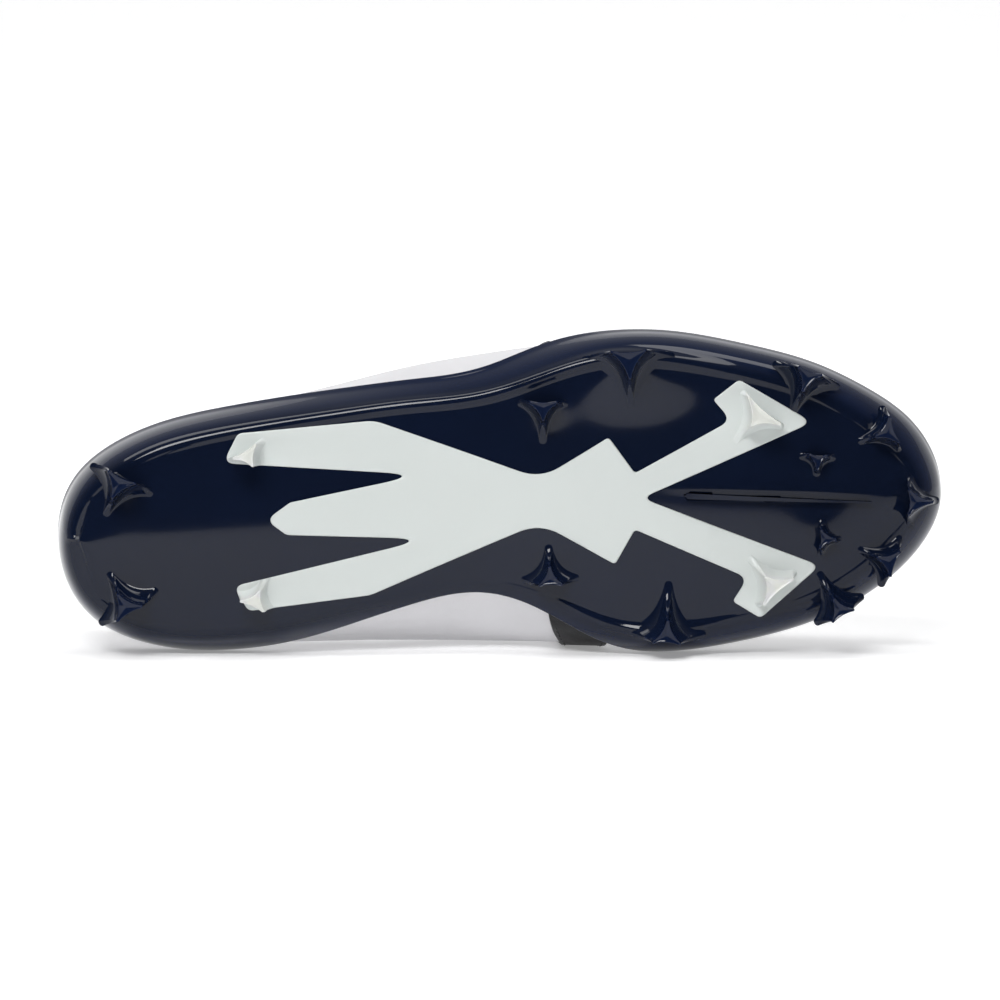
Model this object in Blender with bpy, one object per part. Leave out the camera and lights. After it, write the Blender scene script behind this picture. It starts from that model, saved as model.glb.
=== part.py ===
"""American football cleat, right shoe, lying on its medial side as in the photo.

The shoe is modelled standing, in its own frame: +X from heel to toe, +Y to the medial side,
+Z up, with the heel's back at X 0. A parent empty then lays it down on the floor: the sole faces
-Y, the lateral side is up, and the turn is worked out from where the shoe really comes to rest.

One surface, the last, drives every piece. It is a set of three closed loops seen from above:
the base edge under the foot, the side where the shoe is widest, and the topline around collar
and throat. An angle of 0 is the heel, 180 degrees the toe, and 0 to 180 is the lateral side.
"""

import math

import bmesh
import bpy
import numpy as np
from mathutils import Matrix, Vector

MM = 0.001
TURN = 2 * math.pi

# Driving sizes of the shoe
LENGTH = 300 * MM
BALL_WIDTH = 108 * MM
HEEL_WIDTH = 78 * MM
SIDE_HEIGHT = 30 * MM
COLLAR_HEIGHT = 70 * MM
INSTEP_HEIGHT = 84 * MM
TOE_SPRING = 15 * MM
STUD_HEIGHT = 12 * MM

# Walls, clearances and the smaller sizes
GAP = 0.3 * MM
NEST_GAP = 0.4 * MM
SOLE_WALL = 2.3 * MM
UPPER_WALL = 2.0 * MM
COLLAR_PADDING = 3.5 * MM
LASTING_MARGIN = 9 * MM
INSOLE_THICKNESS = 3.5 * MM
TONGUE_THICKNESS = 4.5 * MM
EYESTAY_THICKNESS = 1.2 * MM
BAND_THICKNESS = 0.8 * MM
THROAT_CROWN = 2.5 * MM
LACE_WIDTH = 6.5 * MM
LACE_THICKNESS = 1.6 * MM
LACE_CROWN = 3.6 * MM  # how far the laces arch over the throat
INSOLE_EDGE = (0.0, 0.28)  # levels of the insole's rim
INSOLE_INSET = 1.6  # its inset from the last, in shares of the wall and clearance
PLATE_DEPTH = 1.1 * MM
PLATE_PROUD = 0.6 * MM
GROOVE_WIDTH = 1.5 * MM
GROOVE_DEPTH = 1.2 * MM
BASE_INSET_HEEL = 8 * MM
BASE_INSET_TOE = 10 * MM
STUD_ROOT = 1.2 * MM

SHELL = SOLE_WALL + NEST_GAP

# The widths that the tables' shares were taken at. Near the heel half widths follow HEEL_WIDTH,
# and they turn to following BALL_WIDTH over HEEL_TO_BALL, as shares of the length.
TABLE_BALL_WIDTH = 108 * MM
TABLE_HEEL_WIDTH = 78 * MM
HEEL_TO_BALL = (0.10, 0.45)

# Where the collar's padding starts and is full: levels up the last, and shares along it
PADDING_LEVELS = (1.55, 1.90)
PADDING_SHARES = (0.40, 0.32)

# Columns round the shoe and rings up each stretch of the last
COLUMNS = 56
COLUMN_DRAW = 0.10
LOWEST_RIM = 0.12
BASE_RINGS = 5
SIDE_RINGS = 6

# Lateral and medial outlines at stations along the shoe, as a share of its length.
# base and side are half widths as shares of the ball's width, side_height is where the upper
# is widest and rim is the top of the sole's wall, both as shares of SIDE_HEIGHT above the seat,
# and square is the roundness of the lower corner: 2 is a quarter circle, 1 a straight bevel.
LATERAL = (
    # along, base, side, side_height, rim, square
    (0.000, -0.028, -0.028, 0.84, 0.62, 2.0),
    (0.020, 0.120, 0.154, 0.84, 0.62, 2.0),
    (0.060, 0.200, 0.248, 0.85, 0.60, 2.0),
    (0.130, 0.268, 0.324, 0.88, 0.56, 1.9),
    (0.220, 0.308, 0.372, 0.94, 0.48, 1.7),
    (0.320, 0.336, 0.424, 0.98, 0.38, 1.4),
    (0.410, 0.354, 0.470, 1.00, 0.31, 1.3),
    (0.500, 0.374, 0.500, 0.92, 0.30, 1.4),
    (0.570, 0.426, 0.519, 0.72, 0.38, 1.7),
    (0.640, 0.470, 0.528, 0.54, 0.44, 2.0),
    (0.700, 0.462, 0.518, 0.48, 0.45, 2.0),
    (0.780, 0.414, 0.470, 0.45, 0.44, 2.0),
    (0.860, 0.344, 0.400, 0.44, 0.44, 2.0),
    (0.920, 0.258, 0.313, 0.43, 0.43, 2.0),
    (0.970, 0.146, 0.204, 0.42, 0.42, 2.0),
    (0.993, 0.064, 0.098, 0.42, 0.42, 2.0),
    (1.000, 0.000, 0.000, 0.42, 0.42, 2.0),
)
MEDIAL = (
    # along, base, side, side_height, rim, square
    (0.020, 0.176, 0.208, 0.84, 0.62, 2.0),
    (0.060, 0.250, 0.298, 0.86, 0.60, 2.0),
    (0.130, 0.292, 0.356, 0.92, 0.54, 1.9),
    (0.220, 0.290, 0.376, 1.00, 0.36, 1.7),
    (0.320, 0.248, 0.388, 1.06, 0.16, 1.4),
    (0.400, 0.214, 0.400, 1.08, 0.06, 1.3),
    (0.480, 0.198, 0.412, 1.04, 0.04, 1.3),
    (0.550, 0.246, 0.420, 0.90, 0.06, 1.5),
    (0.620, 0.338, 0.426, 0.66, 0.16, 1.8),
    (0.690, 0.376, 0.430, 0.48, 0.40, 2.0),
    (0.760, 0.356, 0.413, 0.45, 0.43, 2.0),
    (0.840, 0.314, 0.370, 0.44, 0.44, 2.0),
    (0.910, 0.240, 0.294, 0.43, 0.43, 2.0),
    (0.965, 0.134, 0.186, 0.42, 0.42, 2.0),
    (0.992, 0.056, 0.088, 0.42, 0.42, 2.0),
)
OUTLINE_COLUMNS = ("along", "base", "side", "side_height", "rim", "square")

# Height of the footbed's underside along the shoe, as shares of TOE_SPRING over the ball
SEAT = (
    # along, height
    (0.00, 0.30),
    (0.08, 0.08),
    (0.18, 0.02),
    (0.30, 0.14),
    (0.45, 0.34),
    (0.58, 0.10),
    (0.68, 0.00),
    (0.78, 0.09),
    (0.88, 0.38),
    (0.95, 0.72),
    (1.00, 1.00),
)

# The topline. station is the share along the side loop that each row is joined to, along and
# across are shares of length and of ball width, height is a share of the collar's or the
# instep's height, and lean is how far the wall has curled over by there, in degrees.
TOPLINE = (
    # station, along, across, collar, instep, lean
    (0.000, 0.030, 0.000, 1.00, 0.00, 24),
    (0.060, 0.050, 0.180, 0.96, 0.00, 26),
    (0.160, 0.110, 0.268, 0.84, 0.00, 28),
    (0.270, 0.200, 0.292, 0.75, 0.00, 32),
    (0.360, 0.290, 0.278, 0.79, 0.00, 40),
    (0.430, 0.365, 0.215, 0.00, 0.86, 56),
    (0.490, 0.415, 0.150, 0.00, 1.00, 68),
    (0.570, 0.490, 0.136, 0.00, 0.92, 70),
    (0.660, 0.560, 0.130, 0.00, 0.83, 70),
    (0.760, 0.625, 0.122, 0.00, 0.76, 68),
    (0.860, 0.675, 0.104, 0.00, 0.705, 64),
    (0.950, 0.702, 0.062, 0.00, 0.675, 60),
    (1.000, 0.712, 0.000, 0.00, 0.665, 58),
)

# Where the topline's middle lies along the shoe, as shares of the ball's width to the lateral
# side: the heel sits a little to the medial side of the line through the toe
TOPLINE_CENTRE = (
    # along, across
    (0.00, -0.028),
    (0.20, -0.018),
    (0.45, 0.015),
    (1.00, 0.015),
)

# The spine under the sole, where its bottom rings close, as shares of the length
SPINE_START = 0.13
SPINE_END = 0.87

# Moulded studs. Across is towards the lateral side. A stud's tip is a triangle: its wide side
# is tip_width long and centred at (along, across), its third corner lies tip_depth away along
# heading, in degrees from toeward, positive to the lateral side. Its three ridges run on down
# to the sole by spine_run and wing_run. Lengths in mm; height is a share of STUD_HEIGHT.
STUD_COLUMNS = (
    "name", "along", "across", "heading", "tip_width", "tip_depth", "spine_run", "wing_run", "height"
)
SOLE_STUDS = (
    ("ball_lateral", 0.652, 53.8, -90, 11.0, 9.0, 10.0, 9.0, 1.00),
    ("ball_medial", 0.678, -43.8, 84, 8.8, 7.5, 12.0, 8.0, 1.00),
    ("waist_lateral", 0.553, 37.0, -93, 6.0, 8.5, 4.0, 7.0, 0.75),
    ("waist_medial", 0.553, -23.0, 90, 5.0, 8.5, 4.0, 6.5, 0.75),
    ("side_lateral", 0.852, 44.0, -113, 8.0, 7.0, 9.0, 7.0, 0.95),
    ("side_medial", 0.876, -38.2, 116, 8.0, 6.5, 9.0, 4.5, 0.95),
    ("toe_lateral", 0.944, 22.6, 198, 9.0, 6.5, 5.5, 3.0, 0.72),
    ("toe_centre", 0.957, -2.0, -4, 8.0, 8.0, 2.0, 4.0, 0.72),
    ("toe_medial", 0.938, -22.4, 156, 8.5, 6.5, 6.0, 4.0, 0.72),
    ("inner_lateral", 0.858, 15.4, -96, 5.5, 4.6, 2.0, 2.8, 0.42),
    ("inner_medial", 0.856, -12.6, -6, 6.0, 5.0, 1.5, 3.0, 0.42),
    ("heel_lateral", 0.085, 20.5, -118, 9.5, 7.5, 7.0, 6.0, 1.00),
    ("heel_medial", 0.085, -25.0, 118, 9.5, 7.5, 7.0, 6.0, 1.00),
)
PLATE_STUDS = (
    ("arm_lateral", 0.799, 31.8, 226, 14.0, 6.5, 8.0, 1.5, 1.00),
    ("arm_medial", 0.805, -28.8, 128, 13.0, 6.5, 8.0, 1.5, 1.00),
    ("leg_lateral", 0.222, 27.0, -62, 8.5, 5.5, 4.5, 2.0, 1.00),
    ("leg_medial", 0.222, -24.6, 62, 8.5, 5.5, 4.5, 2.0, 1.00),
)

# A stud's sections: how far up each lies, then how its ridges spread towards the foot, how far
# its wide side sweeps with them, the nose radius at the tip and how much it grows, in mm, and
# how strongly the sides between the ridges are drawn in towards the middle
STUD_RISES = (0.06, 0.22, 0.5, 1.0)
STUD_FLARE = 2.4
STUD_SWEEP = 0.3
STUD_NOSE = (0.5, 0.8)
STUD_HOLLOW = 0.42

# Corners of the X-shaped plate, clockwise from its waist: share along, across and the corner's
# radius, both in mm. Lateral is positive.
PLATE_CORNERS = (
    (0.548, 12.2, 16.0),
    (0.626, 25.0, 1.4),
    (0.653, 12.6, 1.6),
    (0.763, 28.6, 3.6),
    (0.744, 35.8, 1.2),
    (0.774, 42.0, 2.2),
    (0.854, 26.4, 2.4),
    (0.659, 4.2, 1.8),
    (0.855, -21.8, 2.4),
    (0.785, -38.2, 2.2),
    (0.755, -32.0, 1.2),
    (0.773, -24.4, 3.4),
    (0.650, -6.2, 1.6),
    (0.626, -17.6, 1.4),
    (0.545, -2.6, 16.0),
    (0.352, -24.0, 14.0),
    (0.215, -27.0, 3.0),
    (0.200, -18.4, 2.6),
    (0.420, -6.2, 1.8),
    (0.262, -2.2, 3.6),
    (0.240, 3.2, 3.6),
    (0.268, 8.6, 3.6),
    (0.416, 15.4, 1.8),
    (0.196, 23.0, 2.6),
    (0.214, 32.6, 3.0),
    (0.366, 34.4, 14.0),
)
CORNER_STEPS = 4
PLATE_SLICES = 13  # cuts across the plate, so that it follows the sole's curve
SLAB_SHARES = (0.14, 0.92)  # the slab that the plate is cut from, along the shoe
SLAB_HALF_WIDTH = 0.45  # and its half width, as a share of the ball's width

GROOVE = ((0.708, 4.2), (0.915, -1.6))  # share along and mm across, from ball to toe
GROOVE_TAPER = 0.72  # how much of its width it loses towards the toe
GROOVE_FLANKS = (1.3, 0.6)  # its cutter's width below the sole and at the groove's bottom
GROOVE_CLEAR = 2.0 * MM  # how far the cutter reaches out of the sole

# A plain slanted band on each side: its back and front edges as shares of the length
BAND = (
    # level, back, front
    (0.0, 0.556, 0.618),
    (0.5, 0.556, 0.618),
    (1.0, 0.562, 0.610),
    (1.4, 0.540, 0.586),
    (1.74, 0.508, 0.552),
)
BAND_TUCK = 0.15  # how far over the rim's level its solid starts
BAND_COLUMNS = 4
BAND_RINGS = 8

# The tongue: columns across it, then rows from the toe backwards, each with the share of the
# topline it hangs from, its half width, where 1 reaches the throat's edge and more runs on
# under the facing, and how much deeper it lies than the lining. Its free end then rises in steps.
TONGUE_ACROSS = (1.0, 0.8, 0.6, 0.3, 0.0, -0.3, -0.6, -0.8, -1.0)
TONGUE_WING = 0.25
TONGUE_TUCK = math.radians(20)
TONGUE_TOE_LEVEL = 1.84
TONGUE_TUCK_DROP = 2.4
TONGUE_ROWS = (
    # share, half_width, drop in mm
    (0.930, 1.60, 2.9),
    (0.870, 1.62, 1.4),
    (0.800, 1.62, 0.6),
    (0.730, 1.60, 0.2),
    (0.660, 1.55, 0.2),
    (0.590, 1.40, 0.6),
    (0.525, 1.15, 1.2),
    (0.470, 0.90, 0.8),
)
TONGUE_END = (
    # rise, back, width, arch: mm, mm and shares of the last row's
    (7.0, 7.0, 0.97, 0.95),
    (14.0, 12.0, 0.93, 0.90),
    (19.5, 15.5, 0.82, 0.85),
    (22.0, 17.0, 0.62, 0.80),
)

EYESTAY_LEVEL = 1.78
EYESTAY_START = 0.45
EYELET_PAIRS = 6
EYELET_LEVEL = 1.89
EYELET_FIRST = 0.50
EYELET_LAST = 0.885
LACE_STEPS = 5


def smooth_curve(knots, values, period=None):
    """A cubic spline through the knots: natural, or closed where a period is given."""
    knots, values = np.asarray(knots, float), np.asarray(values, float)
    order = np.argsort(knots)
    knots, values = knots[order], values[order]
    if period:
        knots = np.append(knots, knots[0] + period)
        values = np.append(values, values[0])
    count = len(knots)
    step, rise = np.diff(knots), np.diff(values) / np.diff(knots)
    matrix, right = np.eye(count), np.zeros(count)
    for i in range(1, count - 1):
        matrix[i, i - 1 : i + 2] = step[i - 1], 2 * (step[i - 1] + step[i]), step[i]
        right[i] = 6 * (rise[i] - rise[i - 1])
    if period:
        matrix[0, :] = 0
        matrix[0, 0], matrix[0, 1] = 2 * (step[-1] + step[0]), step[0]
        matrix[0, -2] = step[-1]
        right[0] = 6 * (rise[0] - rise[-1])
        matrix[-1, 0], matrix[-1, -1] = -1, 1
    bend = np.linalg.solve(matrix, right)

    def at(place):
        place = np.asarray(place, float)
        if period:
            place = knots[0] + np.mod(place - knots[0], period)
        i = np.clip(np.searchsorted(knots, place, side="right") - 1, 0, count - 2)
        left, span = place - knots[i], step[i]
        after = knots[i + 1] - place
        return (
            (bend[i] * after**3 + bend[i + 1] * left**3) / (6 * span)
            + (values[i] / span - bend[i] * span / 6) * after
            + (values[i + 1] / span - bend[i + 1] * span / 6) * left
        )

    return at


def angle_of(share):
    """The angle round a loop whose place along the shoe is this share, on the lateral side."""
    return np.arccos(np.clip(1 - 2 * np.asarray(share, float), -1, 1))


def share_of(angle):
    return (1 - np.cos(angle)) / 2


def outline_curve(column, signed):
    """A closed curve round the shoe through one column of the lateral and medial tables."""
    index = OUTLINE_COLUMNS.index(column)
    knots = [float(angle_of(row[0])) for row in LATERAL]
    knots += [TURN - float(angle_of(row[0])) for row in MEDIAL]
    values = [row[index] for row in LATERAL]
    values += [-row[index] if signed else row[index] for row in MEDIAL]
    return smooth_curve(knots, values, TURN)


def topline_curve(values, signed):
    """A closed curve round the topline; the medial side mirrors the lateral one."""
    knots = [float(angle_of(row[0])) for row in TOPLINE]
    mirrored = [(TURN - k, -v if signed else v) for k, v in list(zip(knots, values))[1:-1]]
    return smooth_curve(
        knots + [k for k, _ in mirrored], list(values) + [v for _, v in mirrored], TURN
    )


def heel_share(width_share, along):
    """Half widths near the heel follow HEEL_WIDTH, and the rest follow BALL_WIDTH."""
    start, stop = HEEL_TO_BALL
    blend = np.clip((along - start) / (stop - start), 0, 1)
    blend = blend * blend * (3 - 2 * blend)
    heel_unit = HEEL_WIDTH * TABLE_BALL_WIDTH / TABLE_HEEL_WIDTH
    return width_share * (heel_unit + (BALL_WIDTH - heel_unit) * blend)


BASE = outline_curve("base", True)
SIDE = outline_curve("side", True)
SIDE_UP = outline_curve("side_height", False)
RIM = outline_curve("rim", False)
SQUARE = outline_curve("square", False)
SEAT_UP = smooth_curve([row[0] for row in SEAT], [row[1] for row in SEAT])
TOP_ALONG = topline_curve([row[1] * LENGTH for row in TOPLINE], False)
TOP_ACROSS = topline_curve([row[2] * BALL_WIDTH for row in TOPLINE], True)
TOP_UP = topline_curve([row[3] * COLLAR_HEIGHT + row[4] * INSTEP_HEIGHT for row in TOPLINE], False)
TOP_LEAN = topline_curve([math.radians(row[5]) for row in TOPLINE], False)


def seat(along):
    """Height of the last's underside at a place along the shoe."""
    return SHELL + TOE_SPRING * SEAT_UP(np.asarray(along) / LENGTH)


def last_surface(angle, level):
    """Points of the last. Level -1 is the line under the foot, 0 the base edge, 1 the side
    and 2 the topline. From 0 to 1 the section is a superellipse corner that ends upright, and
    from 1 to 2 a stretch of an ellipse that curls over by the topline's lean."""
    angle, level = np.broadcast_arrays(np.asarray(angle, float), np.asarray(level, float))
    share = share_of(angle)
    base_along = BASE_INSET_HEEL + (LENGTH - BASE_INSET_HEEL - BASE_INSET_TOE) * share
    base_across = heel_share(BASE(angle), share)
    side_along = SHELL + (LENGTH - 2 * SHELL) * share
    side_across = heel_share(SIDE(angle), share)

    spine_along = LENGTH * (SPINE_START + (SPINE_END - SPINE_START) * share)
    middle = heel_share(BASE(angle) + BASE(TURN - angle), share) / 2
    under = np.clip(1 + level, 0, 1)
    along = spine_along + (base_along - spine_along) * under
    across = middle + (base_across - middle) * under

    corner = np.clip(level, 0, 1) * math.pi / 2
    power = 2 / SQUARE(angle)
    out = np.sin(corner) ** power
    along = along + (side_along - base_along) * out
    across = across + (side_across - base_across) * out
    side_up = SIDE_UP(angle) * SIDE_HEIGHT
    up = seat(along) + side_up * (1 - np.cos(corner) ** power)

    lean = TOP_LEAN(angle)
    curl = np.clip(level - 1, 0, 1) * lean
    inward = (1 - np.cos(curl)) / (1 - np.cos(lean))
    rise = np.sin(curl) / np.sin(lean)
    shift = BALL_WIDTH * np.interp(TOP_ALONG(angle) / LENGTH, *np.array(TOPLINE_CENTRE).T)
    along = along + (TOP_ALONG(angle) - side_along) * inward
    across = across + (TOP_ACROSS(angle) + shift - side_across) * inward
    up = up + (TOP_UP(angle) - seat(side_along) - side_up) * rise
    return np.stack((along, -across, up), axis=-1)


def grid_normals(grid, closed):
    """Outward unit normals of a grid of points: rows run upwards, columns round the shoe."""
    if closed:
        wide = np.concatenate((grid[:, -1:], grid, grid[:, :1]), axis=1)
        round_way = np.gradient(wide, axis=1)[:, 1:-1]
    else:
        round_way = np.gradient(grid, axis=1)
    up_way = np.gradient(grid, axis=0)
    normal = np.cross(round_way, up_way)
    return normal / np.maximum(np.linalg.norm(normal, axis=-1, keepdims=True), 1e-15)


def round_angles():
    """Angles of the columns, drawn a little towards the middle of the shoe from its ends."""
    even = np.arange(COLUMNS) * TURN / COLUMNS
    return even + COLUMN_DRAW * np.sin(2 * even)


def rim_level(angle):
    """The level at which the sole's wall ends."""
    reach = np.clip(1 - RIM(angle) / SIDE_UP(angle), 0, 1)
    corner = np.arccos(reach ** (SQUARE(angle) / 2))
    return np.clip(corner / (math.pi / 2), LOWEST_RIM, 1)


def link(name, mesh, material, parent, helper=False):
    """Puts a mesh in the scene under the shoe's empty."""
    made = bpy.data.objects.new(name, mesh)
    bpy.context.scene.collection.objects.link(made)
    made.parent = parent
    if material:
        mesh.materials.append(material)
    if helper:
        made.hide_render = True
        made.display_type = "WIRE"
    return made


def mesh_of(name, points, faces):
    """A closed mesh with its faces pointing out, triangulated where a face isn't flat."""
    built = bmesh.new()
    verts = [built.verts.new(p) for p in points]
    for face in faces:
        corners = [verts[i] for i in face]
        if len(set(corners)) == len(corners):
            built.faces.new(corners)
    bmesh.ops.remove_doubles(built, verts=built.verts, dist=1e-6)
    bmesh.ops.recalc_face_normals(built, faces=built.faces)
    mesh = bpy.data.meshes.new(name)
    built.to_mesh(mesh)
    built.free()
    mesh.shade_smooth()
    mesh.set_sharp_from_angle(angle=math.radians(35))
    return mesh


def grid_faces(rows, columns, first=0, closed=False):
    """Quads between the rows of a grid whose points are numbered row by row."""
    faces = []
    for i in range(rows - 1):
        for j in range(columns if closed else columns - 1):
            a, b = first + i * columns + j, first + i * columns + (j + 1) % columns
            faces.append((a, b, b + columns, a + columns))
    return faces


def sheet_solid(name, outer, inner):
    """A solid between two open grids of the same size, closed along all four edges."""
    rows, columns = outer.shape[:2]
    count = rows * columns
    faces = grid_faces(rows, columns) + grid_faces(rows, columns, count)
    for line in (
        [i * columns for i in range(rows)],
        [i * columns + columns - 1 for i in range(rows)],
        list(range(columns)),
        list(range(count - columns, count)),
    ):
        faces += [(a, b, b + count, a + count) for a, b in zip(line, line[1:])]
    points = np.concatenate((outer.reshape(-1, 3), inner.reshape(-1, 3)))
    return mesh_of(name, points, faces)


def ring_solid(name, outer, inner):
    """A hollow band: two grids closed round the shoe, joined along their lower and upper edges."""
    rows, columns = outer.shape[:2]
    count = rows * columns
    faces = grid_faces(rows, columns, 0, True) + grid_faces(rows, columns, count, True)
    for row in (0, rows - 1):
        for j in range(columns):
            a, b = row * columns + j, row * columns + (j + 1) % columns
            faces.append((a, b, b + count, a + count))
    points = np.concatenate((outer.reshape(-1, 3), inner.reshape(-1, 3)))
    return mesh_of(name, points, faces)


def bowl_solid(name, outer, inner):
    """A bowl: two grids closed round the shoe whose first rows meet on the line underneath,
    joined along the rim."""
    rows, columns = outer.shape[:2]
    count = rows * columns
    faces = grid_faces(rows, columns, 0, True) + grid_faces(rows, columns, count, True)
    last = (rows - 1) * columns
    for j in range(columns):
        a, b = last + j, last + (j + 1) % columns
        faces.append((a, b, b + count, a + count))
    points = np.concatenate((outer.reshape(-1, 3), inner.reshape(-1, 3)))
    return mesh_of(name, points, faces)


def under_levels():
    """Levels under the foot, as rows of a table with a column for each angle: the line where
    the sides meet, halfway, and where the upper's turned-in edge ends."""
    angles = round_angles()
    reach = np.linalg.norm((last_surface(angles, 0.0) - last_surface(angles, -1.0))[:, :2], axis=1)
    turned_in = -LASTING_MARGIN / reach
    return np.array((np.full(COLUMNS, -1.0), (turned_in - 1) / 2, turned_in))


def skin(levels, lift):
    """A grid of the last all the way round, raised by lift along its own normals.
    levels is a row of levels, or a table with a column for each angle."""
    angles = round_angles()
    levels = np.asarray(levels, float)
    if levels.ndim == 1:
        levels = np.repeat(levels[:, None], COLUMNS, axis=1)
    grid = last_surface(angles[None, :], levels)
    normal = grid_normals(grid, True)
    flat = np.broadcast_to(np.array((0.0, 0.0, -1.0)), normal.shape)
    normal = np.where((levels < -0.01)[..., None], flat, normal)
    lift = np.broadcast_to(np.asarray(lift, float), levels.shape)
    return grid + normal * lift[..., None]


def sole_levels():
    rim = rim_level(round_angles())
    return np.concatenate((under_levels(), np.linspace(0, 1, BASE_RINGS + 1)[:, None] * rim))


def outsole_mesh():
    levels = sole_levels()
    return bowl_solid("outsole", skin(levels, SHELL), skin(levels, NEST_GAP))


def padding(angle, level):
    """The upper's wall, thicker round the collar where it is padded."""
    (low, full), (front, behind) = PADDING_LEVELS, PADDING_SHARES
    high = np.clip((level - low) / (full - low), 0, 1)
    back = np.clip((front - share_of(angle)) / (front - behind), 0, 1)
    return UPPER_WALL + COLLAR_PADDING * high * back


def upper_mesh():
    """The hollow upper, with its lower edge turned in under the foot by the lasting margin."""
    rows = np.append(np.linspace(0, 1, BASE_RINGS, endpoint=False), np.linspace(1, 2, SIDE_RINGS + 1))
    levels = np.concatenate((under_levels()[-1:], np.repeat(rows[:, None], COLUMNS, axis=1)))
    wall = padding(round_angles()[None, :], levels)
    return ring_solid("upper", skin(levels, 0.0), skin(levels, -wall))


def insole_mesh():
    """The insole lies on the lasting margin, inside the upper's wall."""
    clearance = UPPER_WALL + GAP
    edge_rows = np.repeat(np.array(INSOLE_EDGE)[:, None], COLUMNS, axis=1)
    levels = np.concatenate((under_levels(), edge_rows))
    under = skin(levels, 0.0)
    sideways = grid_normals(under, True) * (1, 1, 0)
    sideways /= np.maximum(np.linalg.norm(sideways, axis=-1, keepdims=True), 1e-9)
    edge = np.clip(levels + 1, 0, 1)[..., None] ** 4
    low = under - sideways * clearance * INSOLE_INSET * edge
    ground = seat(low[..., 0])
    low[..., 2] = ground + clearance + np.maximum(low[..., 2] - ground, 0)
    high = low + (0, 0, INSOLE_THICKNESS)
    return bowl_solid("insole", low, high)


def patch(name, angles, levels, low, high):
    """A thin piece that follows the last over a grid of angles and levels."""
    grid = last_surface(angles, levels)
    normal = grid_normals(grid, False)
    return sheet_solid(name, grid + normal * high, grid + normal * low)


def band_mesh(name, medial):
    """A slanted side band, from inside the sole's rim up to the eyestay."""
    back = smooth_curve([row[0] for row in BAND], [row[1] for row in BAND])
    front = smooth_curve([row[0] for row in BAND], [row[2] for row in BAND])
    mid = 0.5 * (BAND[0][1] + BAND[0][2])
    start = float(rim_level(TURN - angle_of(mid) if medial else angle_of(mid))) + BAND_TUCK
    levels = np.linspace(start, BAND[-1][0], BAND_RINGS)[:, None]
    across = np.linspace(0, 1, BAND_COLUMNS + 1)[None, :]
    share = back(levels) + (front(levels) - back(levels)) * across
    angles = angle_of(share)
    if medial:
        angles = (TURN - angles)[:, ::-1]
    levels = np.broadcast_to(levels, angles.shape)
    return patch(name, angles, levels, NEST_GAP, NEST_GAP + BAND_THICKNESS)


def eyestay_mesh():
    """The horseshoe of facing round the throat, on the upper's own columns."""
    angles = round_angles()
    angles = angles[share_of(angles) > EYESTAY_START]
    levels = np.array((EYESTAY_LEVEL, 2 - 1 / SIDE_RINGS, 2.0))[:, None]
    angles, levels = np.broadcast_arrays(angles[None, :], levels)
    return patch("eyestay", angles, levels, NEST_GAP, NEST_GAP + EYESTAY_THICKNESS)


def throat_row(angle, across):
    """Points across the throat at one angle: -1 to 1 bridges it with a low arch, and beyond
    that the row runs on under the facing on each side."""
    lateral, medial = last_surface(angle, 2.0), last_surface(TURN - angle, 2.0)
    points = []
    for place in across:
        if abs(place) <= 1:
            point = lateral + (medial - lateral) * (1 - place) / 2
            point = point + np.array((0, 0, THROAT_CROWN * (1 - place**2)))
        else:
            level = 2 - (abs(place) - 1) * TONGUE_WING
            point = last_surface(angle if place > 0 else TURN - angle, level)
        points.append(point)
    return np.array(points)


def tongue_grid():
    """Rows from under the vamp to the tongue's free end above the topmost lace."""
    spread = np.array(TONGUE_ACROSS)
    rows = [last_surface(math.pi - spread * TONGUE_TUCK, TONGUE_TOE_LEVEL)]
    rows[0][:, 2] -= TONGUE_TUCK_DROP * MM
    for share, wide, drop in TONGUE_ROWS:
        rows.append(throat_row(float(angle_of(share)), spread * wide) - (0, 0, drop * MM))
    edge = rows[-1]
    middle = edge[len(spread) // 2] * (1, 0, 1) + edge.mean(axis=0) * (0, 1, 0)
    for rise, back, narrow, flatten in TONGUE_END:
        row = middle + (edge - middle) * (1, narrow, flatten)
        rows.append(row + np.array((-back, 0, rise)) * MM)
    return np.array(rows)[:, ::-1]


def tongue_mesh():
    grid = tongue_grid()
    normal = grid_normals(grid, False)
    normal *= np.sign(normal[len(TONGUE_ROWS) // 2, len(TONGUE_ACROSS) // 2, 2])
    top = UPPER_WALL + 2 * GAP
    return sheet_solid("tongue", grid - normal * top, grid - normal * (top + TONGUE_THICKNESS))


def eyelet_share(pair):
    return EYELET_LAST + (EYELET_FIRST - EYELET_LAST) * pair / (EYELET_PAIRS - 1)


def eyelet_point(pair, medial):
    """A point on the last where an eyelet is punched. Pair 0 is nearest the toe."""
    angle = float(angle_of(eyelet_share(pair)))
    return last_surface(TURN - angle if medial else angle, EYELET_LEVEL)


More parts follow.
